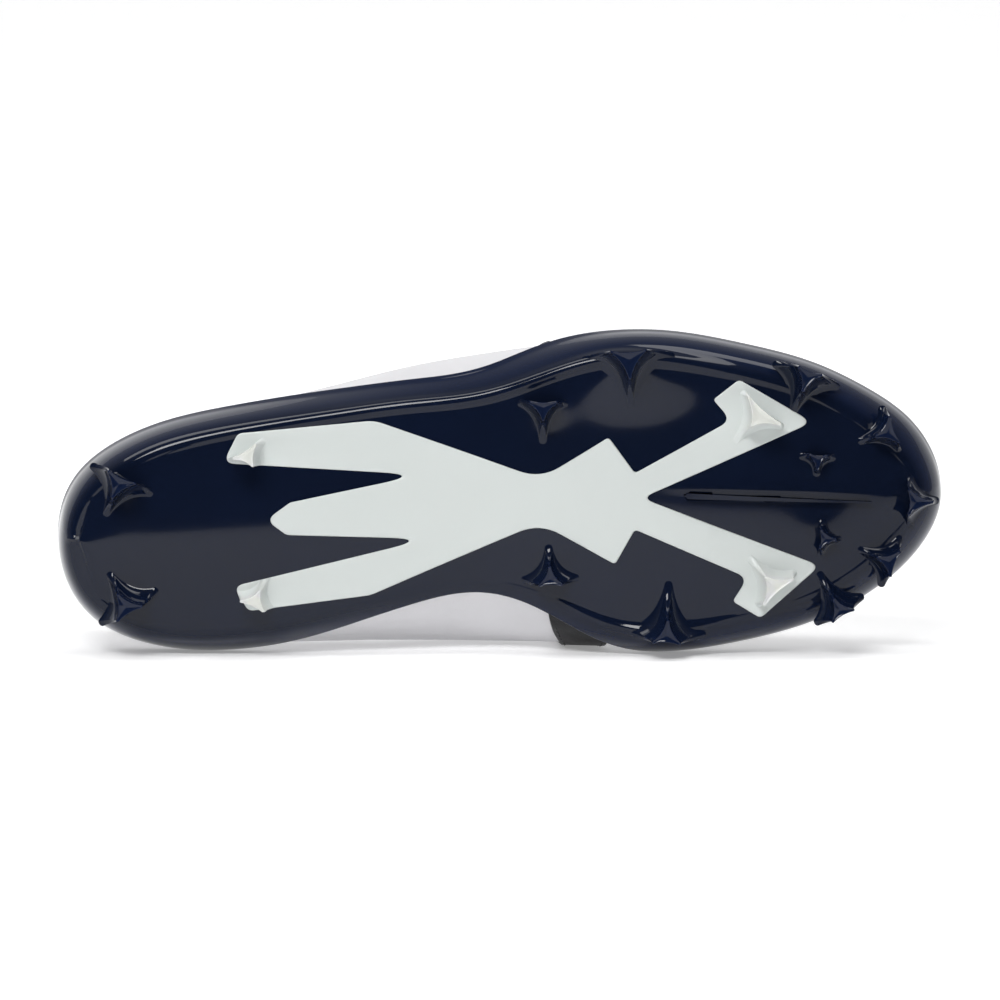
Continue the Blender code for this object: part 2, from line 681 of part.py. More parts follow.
def lace_bar(name, start, stop, crown):
    """A flat lace from one eyelet to another, arched over the throat."""
    steps = LACE_STEPS
    t = np.linspace(0, 1, steps + 1)
    lift = NEST_GAP + GAP + EYESTAY_THICKNESS + LACE_THICKNESS / 2
    line = start + (stop - start) * t[:, None]
    line[:, 2] += lift * 1.5 + crown * np.sin(math.pi * t) ** 0.8
    way = np.gradient(line, axis=0)
    way /= np.linalg.norm(way, axis=1, keepdims=True)
    beside = np.cross(way, (0, 0, 1.0))
    beside /= np.linalg.norm(beside, axis=1, keepdims=True)
    above = np.cross(beside, way)
    half, thick = LACE_WIDTH / 2, LACE_THICKNESS / 2
    section = ((-1, 0), (-0.75, -1), (0.75, -1), (1, 0), (0.75, 1), (-0.75, 1))
    rings = [line + beside * x * half + above * y * thick for x, y in section]
    points = np.stack(rings, axis=1)
    count = len(section)
    faces = grid_faces(steps + 1, count, 0, True)
    faces += [tuple(range(count)), tuple(range(steps * count, (steps + 1) * count))]
    return mesh_of(name, points.reshape(-1, 3), faces)


def lace_meshes():
    """The bottom bar and the crossings, each from one eyelet to the opposite side's next."""
    bars = [lace_bar("lace_bar_0", eyelet_point(0, False), eyelet_point(0, True), LACE_CROWN)]
    for pair in range(EYELET_PAIRS - 1):
        for medial in (False, True):
            start, stop = eyelet_point(pair, medial), eyelet_point(pair + 1, not medial)
            bars.append(lace_bar(f"lace_bar_{len(bars)}", start, stop, LACE_CROWN))
    return bars


def floor_up(along):
    """Height of the outsole's ground face."""
    return seat(along) - SHELL


def stud_mesh(row, bottom_lift):
    """A three-ridged stud. Its section is a triangle with hollow sides, and it widens towards
    the sole along three ridges, quickly at first and then in a long sweep."""
    stud = dict(zip(STUD_COLUMNS, row))
    along, across = stud["along"] * LENGTH, stud["across"] * MM * BALL_WIDTH / TABLE_BALL_WIDTH
    heading = math.radians(stud["heading"])
    ahead = np.array((math.cos(heading), math.sin(heading)))
    beside = np.array((-ahead[1], ahead[0]))
    width, depth = stud["tip_width"] * MM / 2, stud["tip_depth"] * MM
    spine, wing = stud["spine_run"] * MM, stud["wing_run"] * MM
    height = stud["height"] * STUD_HEIGHT
    wide_side = np.array((along, across))
    centre = wide_side + ahead * depth * 0.3
    slope = float(floor_up(along + MM) - floor_up(along - MM)) / (2 * MM)
    sections = []
    for rise in (-STUD_ROOT / height, *STUD_RISES):
        spread = (1 - max(rise, 0)) ** STUD_FLARE
        wings, sweep = beside * (width + wing * spread), ahead * wing * spread * STUD_SWEEP
        tips = [
            wide_side + wings + sweep,
            wide_side - wings + sweep,
            wide_side + ahead * (depth + spine * spread),
        ]
        blunt = (STUD_NOSE[0] + STUD_NOSE[1] * spread) * MM
        outline = []
        for i, tip in enumerate(tips):
            nxt = tips[(i + 1) % 3]
            out = (tip - centre) / np.linalg.norm(tip - centre)
            turn = np.array((-out[1], out[0])) * blunt
            outline += [tip - turn, tip + turn]
            hollow = centre * STUD_HOLLOW + (tip + nxt) * (1 - STUD_HOLLOW) / 2
            out_next = (nxt - centre) / np.linalg.norm(nxt - centre)
            end = nxt - np.array((-out_next[1], out_next[0])) * blunt
            for t in (0.3, 0.7):
                outline.append((1 - t) ** 2 * (tip + turn) + 2 * t * (1 - t) * hollow + t * t * end)
        outline = np.array(outline)
        ground = floor_up(outline[:, 0])
        tip_plane = floor_up(along) + slope * (outline[:, 0] - along) - height
        up = ground + (tip_plane - ground) * max(rise, 0) + max(-rise, 0) * height + bottom_lift
        up = up if rise < 1 else tip_plane
        sections.append(np.stack((outline[:, 0], -outline[:, 1], up), axis=1))
    count = len(sections[0])
    points = np.concatenate(sections)
    faces = grid_faces(len(sections), count, 0, True)
    faces += [tuple(range(count)), tuple(range(len(points) - count, len(points)))]
    return mesh_of("stud_" + stud["name"], points, faces)


def rounded_outline(corners, grow=0.0):
    """The plate's outline seen from above, with its corners rounded and all of it moved out
    by grow."""
    plan = [np.array((c[0] * LENGTH, c[1] * MM * BALL_WIDTH / TABLE_BALL_WIDTH)) for c in corners]
    area = sum(a[0] * b[1] - a[1] * b[0] for a, b in zip(plan, plan[1:] + plan[:1]))
    side = math.copysign(1, area)
    moved = []
    for i, here in enumerate(plan):
        before, after = plan[i - 1], plan[(i + 1) % len(plan)]
        one, two = here - before, after - here
        n1 = np.array((one[1], -one[0])) / np.linalg.norm(one) * side
        n2 = np.array((two[1], -two[0])) / np.linalg.norm(two) * side
        moved.append(here + (n1 + n2) * grow / (1 + float(n1 @ n2)))
    outline = []
    for i, here in enumerate(moved):
        before, after = moved[i - 1], moved[(i + 1) % len(moved)]
        one, two = before - here, after - here
        len_one, len_two = np.linalg.norm(one), np.linalg.norm(two)
        one, two = one / len_one, two / len_two
        half = math.acos(max(-1, min(1, float(one @ two)))) / 2
        reach = min(corners[i][2] * MM / math.tan(half), 0.45 * len_one, 0.45 * len_two)
        for t in np.linspace(0, 1, CORNER_STEPS):
            outline.append(here + one * reach * (1 - t) ** 2 + two * reach * t**2)
    return outline


def prism_mesh(name, grow):
    """An upright prism of the plate's outline."""
    outline = rounded_outline(PLATE_CORNERS, grow)
    count = len(outline)
    reach = 2 * STUD_HEIGHT
    points = [(p[0], -p[1], up) for up in (-reach, reach) for p in outline]
    faces = [tuple(range(count)), tuple(range(count, 2 * count))]
    faces += [(i, (i + 1) % count, (i + 1) % count + count, i + count) for i in range(count)]
    return mesh_of(name, points, faces)


def slab_mesh(name, low, high):
    """A wide slab between two heights over the ground face, curved along the shoe with it."""
    along = np.linspace(*SLAB_SHARES, PLATE_SLICES) * LENGTH
    ground = floor_up(along)
    half = SLAB_HALF_WIDTH * BALL_WIDTH
    corners = ((half, low), (half, high), (-half, high), (-half, low))
    points = np.array([[(x, y, up + z) for y, z in corners] for x, up in zip(along, ground)])
    faces = grid_faces(PLATE_SLICES, 4, 0, True)
    faces += [(0, 1, 2, 3), tuple(range(4 * PLATE_SLICES - 4, 4 * PLATE_SLICES))]
    return mesh_of(name, points.reshape(-1, 3), faces)


def groove_mesh():
    """A long shallow cut down the middle of the forefoot, round at its ball end."""
    (a0, c0), (a1, c1) = GROOVE
    start = np.array((a0 * LENGTH, c0 * MM))
    stop = np.array((a1 * LENGTH, c1 * MM))
    way = (stop - start) / np.linalg.norm(stop - start)
    beside = np.array((-way[1], way[0]))
    half = GROOVE_WIDTH / 2
    stations = np.linspace(0, 1, 7)
    rows = []
    for t in stations:
        here = start + (stop - start) * t
        mouth, bottom = (beside * half * (1 - GROOVE_TAPER * t) * f for f in GROOVE_FLANKS)
        up = float(floor_up(here[0]))
        rows.append(
            [
                (*(here + mouth) * (1, -1), up - GROOVE_CLEAR),
                (*(here - mouth) * (1, -1), up - GROOVE_CLEAR),
                (*(here - bottom) * (1, -1), up + GROOVE_DEPTH),
                (*(here + bottom) * (1, -1), up + GROOVE_DEPTH),
            ]
        )
    points = np.array(rows).reshape(-1, 3)
    faces = grid_faces(len(rows), 4, 0, True)
    faces += [(0, 1, 2, 3), tuple(range(len(points) - 4, len(points)))]
    return mesh_of("groove_cutter", points, faces)


def boolean(target, name, operation, operand):
    """A Boolean with one object or with every object of a collection."""
    made = target.modifiers.new(name, "BOOLEAN")
    made.operation = operation
    made.solver = "EXACT"
    if isinstance(operand, bpy.types.Collection):
        made.operand_type = "COLLECTION"
        made.collection = operand
    else:
        made.object = operand


def helper_group(name, objects):
    group = bpy.data.collections.new(name)
    bpy.context.scene.collection.children.link(group)
    for made in objects:
        group.objects.link(made)
        bpy.context.scene.collection.objects.unlink(made)
    return group


def material(name, colour, roughness):
    made = bpy.data.materials.new(name)
    made.use_nodes = True
    shader = made.node_tree.nodes["Principled BSDF"]
    shader.inputs["Base Color"].default_value = (*colour, 1)
    shader.inputs["Roughness"].default_value = roughness
    made.diffuse_color = (*colour, 1)
    return made


def volume_and_centre(points, triangles):
    """Volume and centre of gravity of a closed mesh."""
    corners = points[triangles]
    volumes = np.einsum("ij,ij->i", corners[:, 0], np.cross(corners[:, 1], corners[:, 2])) / 6
    centre = (volumes[:, None] * corners.sum(axis=1) / 4).sum(axis=0) / volumes.sum()
    return abs(volumes.sum()), centre


def finished_points(objects):
    """Points and triangles of each piece with its modifiers applied."""
    graph = bpy.context.evaluated_depsgraph_get()
    found = []
    for made in objects:
        whole = made.evaluated_get(graph)
        mesh = whole.to_mesh()
        mesh.calc_loop_triangles()
        points = np.array([v.co for v in mesh.vertices])
        found.append((points, np.array([t.vertices for t in mesh.loop_triangles])))
        whole.to_mesh_clear()
    return found


def resting_turn(pieces):
    """The turn that lays the standing shoe on its medial side: first a quarter turn about its
    length, then the small roll onto the face of its hull that it comes to rest on."""
    laid = Matrix.Rotation(-math.pi / 2, 3, "X")
    weights = [volume_and_centre(*piece) for piece in pieces]
    total = sum(volume for volume, _ in weights)
    centre = laid @ Vector(sum(volume * where for volume, where in weights) / total)
    hull = bmesh.new()
    for points, _ in pieces:
        for point in points:
            hull.verts.new(laid @ Vector(point))
    bmesh.ops.convex_hull(hull, input=hull.verts)
    bmesh.ops.triangulate(hull, faces=hull.faces)
    faces = []
    for face in hull.faces:
        normal = face.normal.copy()
        if normal.dot(face.verts[0].co - centre) < 0:
            normal.negate()
        faces.append((normal, face.verts[0].co - centre))
    hull.free()
    down = Vector((0, 0, -1))
    settled = False
    while not settled:
        ahead = [(n.dot(corner) / n.dot(down), n) for n, corner in faces if n.dot(down) > 1e-6]
        face_below = min(ahead, key=lambda entry: entry[0])[1]
        settled = (face_below - down).length < 1e-7
        down = face_below
    return down.rotation_difference(Vector((0, 0, -1))).to_matrix() @ laid


def main():
    for made in list(bpy.data.objects):
        bpy.data.objects.remove(made, do_unlink=True)
    shoe = bpy.data.objects.new("shoe_frame", None)
    bpy.context.scene.collection.objects.link(shoe)

    navy = material("navy_gloss_plastic", (0.012, 0.020, 0.055), 0.12)
    milky = material("milky_plastic", (0.66, 0.73, 0.71), 0.30)
    white = material("white_synthetic", (0.80, 0.80, 0.83), 0.45)
    black = material("black_synthetic", (0.012, 0.012, 0.014), 0.40)
    cloth = material("white_cloth", (0.78, 0.78, 0.80), 0.85)
    foam = material("grey_sockliner", (0.16, 0.17, 0.20), 0.90)

    outsole = link("outsole", outsole_mesh(), navy, shoe)
    studs = [
        link("stud_" + row[0], stud_mesh(row, 0.0), navy, shoe, helper=True) for row in SOLE_STUDS
    ]
    plate = link("spine_plate", slab_mesh("spine_plate", -PLATE_PROUD, PLATE_DEPTH), milky, shoe)
    outline = link("plate_outline", prism_mesh("plate_outline", 0.0), None, shoe, helper=True)
    plate_studs = [
        link("stud_" + row[0], stud_mesh(row, -PLATE_PROUD * 0.5), milky, shoe, helper=True)
        for row in PLATE_STUDS
    ]
    pocket = link(
        "plate_pocket", slab_mesh("plate_pocket", -1.5 * STUD_HEIGHT, PLATE_DEPTH + GAP), None, shoe, True
    )
    recess = link("pocket_outline", prism_mesh("pocket_outline", GAP), None, shoe, helper=True)
    groove = link("groove_cutter", groove_mesh(), None, shoe, helper=True)
    upper = link("upper", upper_mesh(), white, shoe)
    insole = link("insole", insole_mesh(), foam, shoe)
    tongue = link("tongue", tongue_mesh(), cloth, shoe)
    eyestay = link("eyestay", eyestay_mesh(), white, shoe)
    band_lateral = link("band_lateral", band_mesh("band_lateral", False), black, shoe)
    band_medial = link("band_medial", band_mesh("band_medial", True), black, shoe)
    bars = [link(mesh.name, mesh, cloth, shoe, helper=True) for mesh in lace_meshes()]
    laces = bars.pop(0)
    laces.name = "laces"
    laces.hide_render = False
    laces.display_type = "TEXTURED"

    boolean(outsole, "studs", "UNION", helper_group("sole_studs", studs))
    boolean(outsole, "pocket", "DIFFERENCE", pocket)
    boolean(outsole, "groove", "DIFFERENCE", groove)
    boolean(pocket, "outline", "INTERSECT", recess)
    boolean(plate, "studs", "UNION", helper_group("plate_studs", plate_studs))
    boolean(plate, "outline", "INTERSECT", outline)
    boolean(laces, "crossings", "UNION", helper_group("lace_bars", bars))

    solids = [outsole, plate, upper, insole, tongue, eyestay, laces, band_lateral, band_medial]
    pieces = finished_points(solids)
    turn = resting_turn(pieces)
    laid = np.concatenate([points for points, _ in pieces]) @ np.array(turn).T
    low, high = laid.min(axis=0), laid.max(axis=0)
    move = Vector((-(low[0] + high[0]) / 2, -(low[1] + high[1]) / 2, -low[2]))
    shoe.matrix_world = Matrix.Translation(move) @ turn.to_4x4()


main()
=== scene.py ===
"""Looks of an american football cleat, a right shoe that lies on its medial side.

Every surface of the shoe comes from one last, worked out in the standing shoe's own frame: X from
heel to toe, Y to the medial side, Z up. Placement then lays the shoe down on the floor. A place
on the last is an angle round the shoe (0 heel, half a turn toe, the first half lateral) and a
level: -1 the line underfoot, 0 the base's edge, 1 the widest side, 2 the topline.
"""

import logging
import math
from dataclasses import dataclass, field
from enum import Enum
from typing import Optional, Sequence

import bmesh
import bpy
import numpy as np
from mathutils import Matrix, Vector

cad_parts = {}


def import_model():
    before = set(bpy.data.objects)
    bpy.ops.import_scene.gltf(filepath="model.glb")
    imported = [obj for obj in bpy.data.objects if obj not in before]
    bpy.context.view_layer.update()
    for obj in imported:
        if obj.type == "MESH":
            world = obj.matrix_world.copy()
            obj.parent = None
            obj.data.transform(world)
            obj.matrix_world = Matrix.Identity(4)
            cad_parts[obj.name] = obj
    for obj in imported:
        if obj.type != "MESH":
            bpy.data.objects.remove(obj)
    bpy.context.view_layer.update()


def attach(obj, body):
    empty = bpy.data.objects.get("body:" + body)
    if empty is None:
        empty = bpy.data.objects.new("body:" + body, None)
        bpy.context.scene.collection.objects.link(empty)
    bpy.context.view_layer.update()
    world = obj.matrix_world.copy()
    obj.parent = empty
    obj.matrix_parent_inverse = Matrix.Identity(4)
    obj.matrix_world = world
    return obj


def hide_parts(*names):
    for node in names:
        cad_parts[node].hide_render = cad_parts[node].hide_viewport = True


MM = 0.001
TURN = 2 * math.pi
WELD = 2e-6
PANEL_SINK = 0.25 * MM
UP = np.array((0.0, 0.0, 1.0))
Grid = np.ndarray
Thing = bpy.types.Object
Material = bpy.types.Material
Socket = bpy.types.NodeSocket

logging.basicConfig(level=logging.INFO, format="%(message)s")
log = logging.getLogger("cleat")

# The outline tables' shares across were worked out at these widths, in mm.
TABLE_BALL_WIDTH, TABLE_HEEL_WIDTH = 108, 78
OUTLINE_COLUMNS = "along base side side_height rim square".split()
LATERAL = (
    (0.000, -0.028, -0.028, 0.84, 0.62, 2.0),
    (0.020, 0.120, 0.154, 0.84, 0.62, 2.0),
    (0.060, 0.200, 0.248, 0.85, 0.60, 2.0),
    (0.130, 0.268, 0.324, 0.88, 0.56, 1.9),
    (0.220, 0.308, 0.372, 0.94, 0.48, 1.7),
    (0.320, 0.336, 0.424, 0.98, 0.38, 1.4),
    (0.410, 0.354, 0.470, 1.00, 0.31, 1.3),
    (0.500, 0.374, 0.500, 0.92, 0.30, 1.4),
    (0.570, 0.426, 0.519, 0.72, 0.38, 1.7),
    (0.640, 0.470, 0.528, 0.54, 0.44, 2.0),
    (0.700, 0.462, 0.518, 0.48, 0.45, 2.0),
    (0.780, 0.414, 0.470, 0.45, 0.44, 2.0),
    (0.860, 0.344, 0.400, 0.44, 0.44, 2.0),
    (0.920, 0.258, 0.313, 0.43, 0.43, 2.0),
    (0.970, 0.146, 0.204, 0.42, 0.42, 2.0),
    (0.993, 0.064, 0.098, 0.42, 0.42, 2.0),
    (1.000, 0.000, 0.000, 0.42, 0.42, 2.0),
)
MEDIAL = (
    (0.020, 0.176, 0.208, 0.84, 0.62, 2.0),
    (0.060, 0.250, 0.298, 0.86, 0.60, 2.0),
    (0.130, 0.292, 0.356, 0.92, 0.54, 1.9),
    (0.220, 0.290, 0.376, 1.00, 0.36, 1.7),
    (0.320, 0.248, 0.388, 1.06, 0.16, 1.4),
    (0.400, 0.214, 0.400, 1.08, 0.06, 1.3),
    (0.480, 0.198, 0.412, 1.04, 0.04, 1.3),
    (0.550, 0.246, 0.420, 0.90, 0.06, 1.5),
    (0.620, 0.338, 0.426, 0.66, 0.16, 1.8),
    (0.690, 0.376, 0.430, 0.48, 0.40, 2.0),
    (0.760, 0.356, 0.413, 0.45, 0.43, 2.0),
    (0.840, 0.314, 0.370, 0.44, 0.44, 2.0),
    (0.910, 0.240, 0.294, 0.43, 0.43, 2.0),
    (0.965, 0.134, 0.186, 0.42, 0.42, 2.0),
    (0.992, 0.056, 0.088, 0.42, 0.42, 2.0),
)
SEAT = (
    (0.00, 0.30),
    (0.08, 0.08),
    (0.18, 0.02),
    (0.30, 0.14),
    (0.45, 0.34),
    (0.58, 0.10),
    (0.68, 0.00),
    (0.78, 0.09),
    (0.88, 0.38),
    (0.95, 0.72),
    (1.00, 1.00),
)
TOPLINE = (
    # station, along, across, collar, instep, lean
    (0.000, 0.030, 0.000, 1.00, 0.00, 24),
    (0.060, 0.050, 0.180, 0.96, 0.00, 26),
    (0.160, 0.110, 0.268, 0.84, 0.00, 28),
    (0.270, 0.200, 0.292, 0.75, 0.00, 32),
    (0.360, 0.290, 0.278, 0.79, 0.00, 40),
    (0.430, 0.365, 0.215, 0.00, 0.86, 56),
    (0.490, 0.415, 0.150, 0.00, 1.00, 68),
    (0.570, 0.490, 0.136, 0.00, 0.92, 70),
    (0.660, 0.560, 0.130, 0.00, 0.83, 70),
    (0.760, 0.625, 0.122, 0.00, 0.76, 68),
    (0.860, 0.675, 0.104, 0.00, 0.705, 64),
    (0.950, 0.702, 0.062, 0.00, 0.675, 60),
    (1.000, 0.712, 0.000, 0.00, 0.665, 58),
)
TOPLINE_CENTRE = ((0.00, -0.028), (0.20, -0.018), (0.45, 0.015), (1.00, 0.015))

# Along is a share of the length, heading is in degrees and height a share of the full one. The
# rest is in mm.
STUD_COLUMNS = "name along across heading tip_width tip_depth spine_run wing_run height".split()
SOLE_STUDS = (
    ("ball_lateral", 0.652, 53.8, -90, 11.0, 9.0, 10.0, 9.0, 1.00),
    ("ball_medial", 0.678, -43.8, 84, 8.8, 7.5, 12.0, 8.0, 1.00),
    ("waist_lateral", 0.555, 38.2, -93, 9.0, 6.0, 8.0, 3.2, 0.75),
    ("waist_medial", 0.553, -23.0, 90, 7.4, 6.2, 6.3, 5.4, 0.75),
    ("side_lateral", 0.852, 44.0, -113, 8.0, 7.0, 9.0, 7.0, 0.95),
    ("side_medial", 0.876, -38.2, 116, 8.0, 6.5, 9.0, 4.5, 0.95),
    ("toe_lateral", 0.944, 22.6, 198, 9.0, 6.5, 5.5, 3.0, 0.72),
    ("toe_centre", 0.957, -2.0, -4, 8.0, 8.0, 2.0, 4.0, 0.72),
    ("toe_medial", 0.938, -22.4, 156, 8.5, 6.5, 6.0, 4.0, 0.72),
    ("inner_lateral", 0.858, 15.4, -96, 5.5, 4.6, 2.0, 2.8, 0.42),
    ("inner_medial", 0.856, -12.6, -6, 6.0, 5.0, 1.5, 3.0, 0.42),
    ("heel_lateral", 0.085, 20.5, -118, 9.5, 7.5, 7.0, 6.0, 1.00),
    ("heel_medial", 0.085, -25.0, 118, 9.5, 7.5, 7.0, 6.0, 1.00),
)
PLATE_STUDS = (
    ("arm_lateral", 0.799, 31.8, 226, 14.0, 6.5, 8.0, 1.5, 1.00),
    ("arm_medial", 0.805, -28.8, 128, 13.0, 6.5, 8.0, 1.5, 1.00),
    ("leg_lateral", 0.222, 27.0, -62, 8.5, 5.5, 4.5, 2.0, 1.00),
    ("leg_medial", 0.222, -24.6, 62, 8.5, 5.5, 4.5, 2.0, 1.00),
)
GROUND_SWELLS = (
    # share along, mm across, height in mm, reach along and across in mm, turn in degrees
    (0.672, 50.5, 1.50, 36.0, 17.0, 0.0),
    (0.700, -46.0, 0.50, 24.0, 15.0, 0.0),
    (0.805, 4.6, 0.13, 27.0, 1.9, -5.3),
)
PLATE_CORNERS = (
    # share along, mm across, corner radius in mm
    (0.548, 12.2, 16.0),
    (0.626, 25.0, 1.4),
    (0.653, 12.6, 1.6),
    (0.763, 28.6, 3.6),
    (0.744, 35.8, 1.2),
    (0.774, 42.0, 2.2),
    (0.854, 26.4, 2.4),
    (0.659, 4.2, 1.8),
    (0.855, -21.8, 2.4),
    (0.785, -38.2, 2.2),
    (0.755, -32.0, 1.2),
    (0.773, -24.4, 3.4),
    (0.650, -6.2, 1.6),
    (0.626, -17.6, 1.4),
    (0.545, -2.6, 16.0),
    (0.352, -24.0, 14.0),
    (0.215, -27.0, 3.0),
    (0.200, -18.4, 2.6),
    (0.420, -6.2, 1.8),
    (0.262, -2.2, 3.6),
    (0.240, 3.2, 3.6),
    (0.268, 8.6, 3.6),
    (0.416, 15.4, 1.8),
    (0.196, 23.0, 2.6),
    (0.214, 32.6, 3.0),
    (0.366, 34.4, 14.0),
)
BAND = (
    # level, back, front
    (0.0, 0.556, 0.618),
    (0.5, 0.556, 0.618),
    (1.0, 0.562, 0.610),
    (1.4, 0.540, 0.586),
    (1.74, 0.508, 0.552),
)
TONGUE_ACROSS = (1.0, 0.8, 0.6, 0.3, 0.0, -0.3, -0.6, -0.8, -1.0)
TONGUE_ROWS = (
    # share, half width, drop in mm
    (0.930, 1.60, 2.9),
    (0.870, 1.62, 1.4),
    (0.800, 1.62, 0.6),
    (0.730, 1.60, 0.2),
    (0.660, 1.55, 0.2),
    (0.590, 1.40, 0.6),
    (0.525, 1.15, 1.2),
    (0.470, 0.90, 0.8),
)
TONGUE_END = (
    # rise mm, back mm, width, arch
    (7.0, 7.0, 0.97, 0.95),
    (14.0, 12.0, 0.93, 0.90),
    (19.5, 15.5, 0.82, 0.85),
    (22.0, 17.0, 0.62, 0.80),
)
# Creases of the upper: places along each one as (share, level), its sides, its width and depth in
# mm. A positive depth is a trough and a negative one a ridge beside it.
CREASES = (
    (((0.700, 0.95), (0.690, 1.30), (0.700, 1.62), (0.725, 1.80)), (1,), 3.4, 0.75),
    (((0.728, 1.00), (0.718, 1.34), (0.728, 1.64)), (1,), 3.0, -0.45),
    (((0.756, 1.05), (0.744, 1.36), (0.752, 1.66), (0.775, 1.82)), (1,), 3.2, 0.65),
    (((0.700, 0.98), (0.686, 1.34), (0.700, 1.64), (0.722, 1.82)), (-1,), 3.4, 0.75),
    (((0.730, 1.02), (0.716, 1.36), (0.728, 1.66)), (-1,), 3.0, -0.45),
    (((0.760, 1.05), (0.746, 1.38), (0.756, 1.68), (0.780, 1.84)), (-1,), 3.2, 0.60),
    (((0.800, 1.20), (0.790, 1.50), (0.800, 1.72)), (1,), 4.0, 0.35),
    (((0.800, 1.20), (0.790, 1.50), (0.800, 1.74)), (-1,), 4.0, 0.35),
    (((0.395, 1.70), (0.372, 1.45), (0.330, 1.25)), (1, -1), 4.2, 0.70),
    (((0.350, 1.66), (0.325, 1.44), (0.285, 1.30)), (1, -1), 4.0, -0.40),
    (((0.060, 1.56), (0.120, 1.50), (0.185, 1.52)), (1, -1), 3.6, 0.45),
)


class Side(Enum):
    """The two sides of the shoe, with the numbers that the tables give them."""

    LATERAL = 1
    MEDIAL = -1


class Pattern(Enum):
    """Where a finish takes its coordinates from."""

    SOLID = "Object"
    SURFACE = "UV"


class Spline:
    """A cubic spline through knots, natural at its ends or closed where a period is given."""

    def __init__(
        self, knots: Sequence[float], values: Sequence, period: Optional[float] = None
    ) -> None:
        """Solves the spline's bends once.

        Args:
            knots: Where the values stand.
            values: A number or a row of numbers for each knot.
            period: The distance after which the curve repeats.
        """
        knots, values = np.asarray(knots, float), np.asarray(values, float)
        order = np.argsort(knots)
        knots, values = knots[order], values[order]
        if period:
            knots = np.append(knots, knots[0] + period)
            values = np.concatenate((values, values[:1]))
        self.flat = values.ndim == 1
        self.knots, self.period = knots, period
        self.values = values.reshape(len(values), -1)
        self.step = np.diff(knots)
        rise = np.diff(self.values, axis=0) / self.step[:, None]
        count = len(knots)
        matrix, right = np.eye(count), np.zeros((count, self.values.shape[1]))
        inner = np.arange(1, count - 1)
        matrix[inner, inner - 1] = self.step[:-1]
        matrix[inner, inner] = 2 * (self.step[:-1] + self.step[1:])
        matrix[inner, inner + 1] = self.step[1:]
        right[1:-1] = 6 * np.diff(rise, axis=0)
        if period:
            matrix[0, :] = 0
            matrix[0, 0], matrix[0, 1] = 2 * (self.step[-1] + self.step[0]), self.step[0]
            matrix[0, -2] = self.step[-1]
            right[0] = 6 * (rise[0] - rise[-1])
            matrix[-1, 0], matrix[-1, -1] = -1, 1
        self.bend = np.linalg.solve(matrix, right)

    def __call__(self, place: Grid) -> Grid:
        """The curve at a place: cubic pieces that share their bend at each knot.

        Args:
            place: Where to read the curve, of any shape.

        Returns:
            Values of that shape, with a last axis where the knots held rows.
        """
        place = np.asarray(place, float)
        if self.period:
            place = self.knots[0] + np.mod(place - self.knots[0], self.period)
        i = np.clip(np.searchsorted(self.knots, place, side="right") - 1, 0, len(self.knots) - 2)
        span = self.step[i][..., None]
        before, after = (place - self.knots[i])[..., None], (self.knots[i + 1] - place)[..., None]
        found = (
            (self.bend[i] * after**3 + self.bend[i + 1] * before**3) / (6 * span)
            + (self.values[i] / span - self.bend[i] * span / 6) * after
            + (self.values[i + 1] / span - self.bend[i + 1] * span / 6) * before
        )
        return found[..., 0] if self.flat else found


def angle_of(share: Grid) -> Grid:
    """The lateral angle of a share of the way from heel to toe."""
    return np.arccos(np.clip(1 - 2 * np.asarray(share, float), -1, 1))


def share_of(angle: Grid) -> Grid:
    """The share of the way from heel to toe of an angle."""
    return (1 - np.cos(angle)) / 2


def angle_on(side: Side, share: Grid) -> Grid:
    """The angle, on one side of the shoe, of a share of the way from heel to toe."""
    return angle_of(share) if side is Side.LATERAL else TURN - angle_of(share)


def unit(vectors: Grid) -> Grid:
    """Vectors along the last axis, made one long."""
    return vectors / np.maximum(np.linalg.norm(vectors, axis=-1, keepdims=True), 1e-12)


def ease(value: Grid, start: float, stop: float) -> Grid:
    """0 before start, 1 after stop, and a smooth step between them."""
    t = np.clip((np.asarray(value, float) - start) / (stop - start), 0, 1)
    return t * t * (3 - 2 * t)


def bell(distance: Grid, reach: float) -> Grid:
    """A bump that fades with distance: exp of minus the squared distance over the reach."""
    return np.exp(-((distance / reach) ** 2))


def arc_lengths(points: Grid, axis: int = 0) -> Grid:
    """How far each point lies along a line or grid: the sum of the steps up to it.

    Args:
        points: A line or a grid of points.
        axis: The axis to walk along.

    Returns:
        Lengths of the points' shape, 0 at the start.
    """
    steps = np.linalg.norm(np.diff(points, axis=axis), axis=-1)
    start = np.zeros_like(np.take(steps, [0], axis=axis))
    return np.concatenate((start, np.cumsum(steps, axis=axis)), axis=axis)


def paired(angle: Grid, level: Grid) -> Sequence[Grid]:
    """Angles and levels as arrays of one shape."""
    return np.broadcast_arrays(np.asarray(angle, float), np.asarray(level, float))


def standing(along: Grid, across: Grid, up: Grid) -> Grid:
    """Points of the standing shoe, whose Y runs against the lateral way across."""
    return np.stack((along, -across, up), axis=-1)


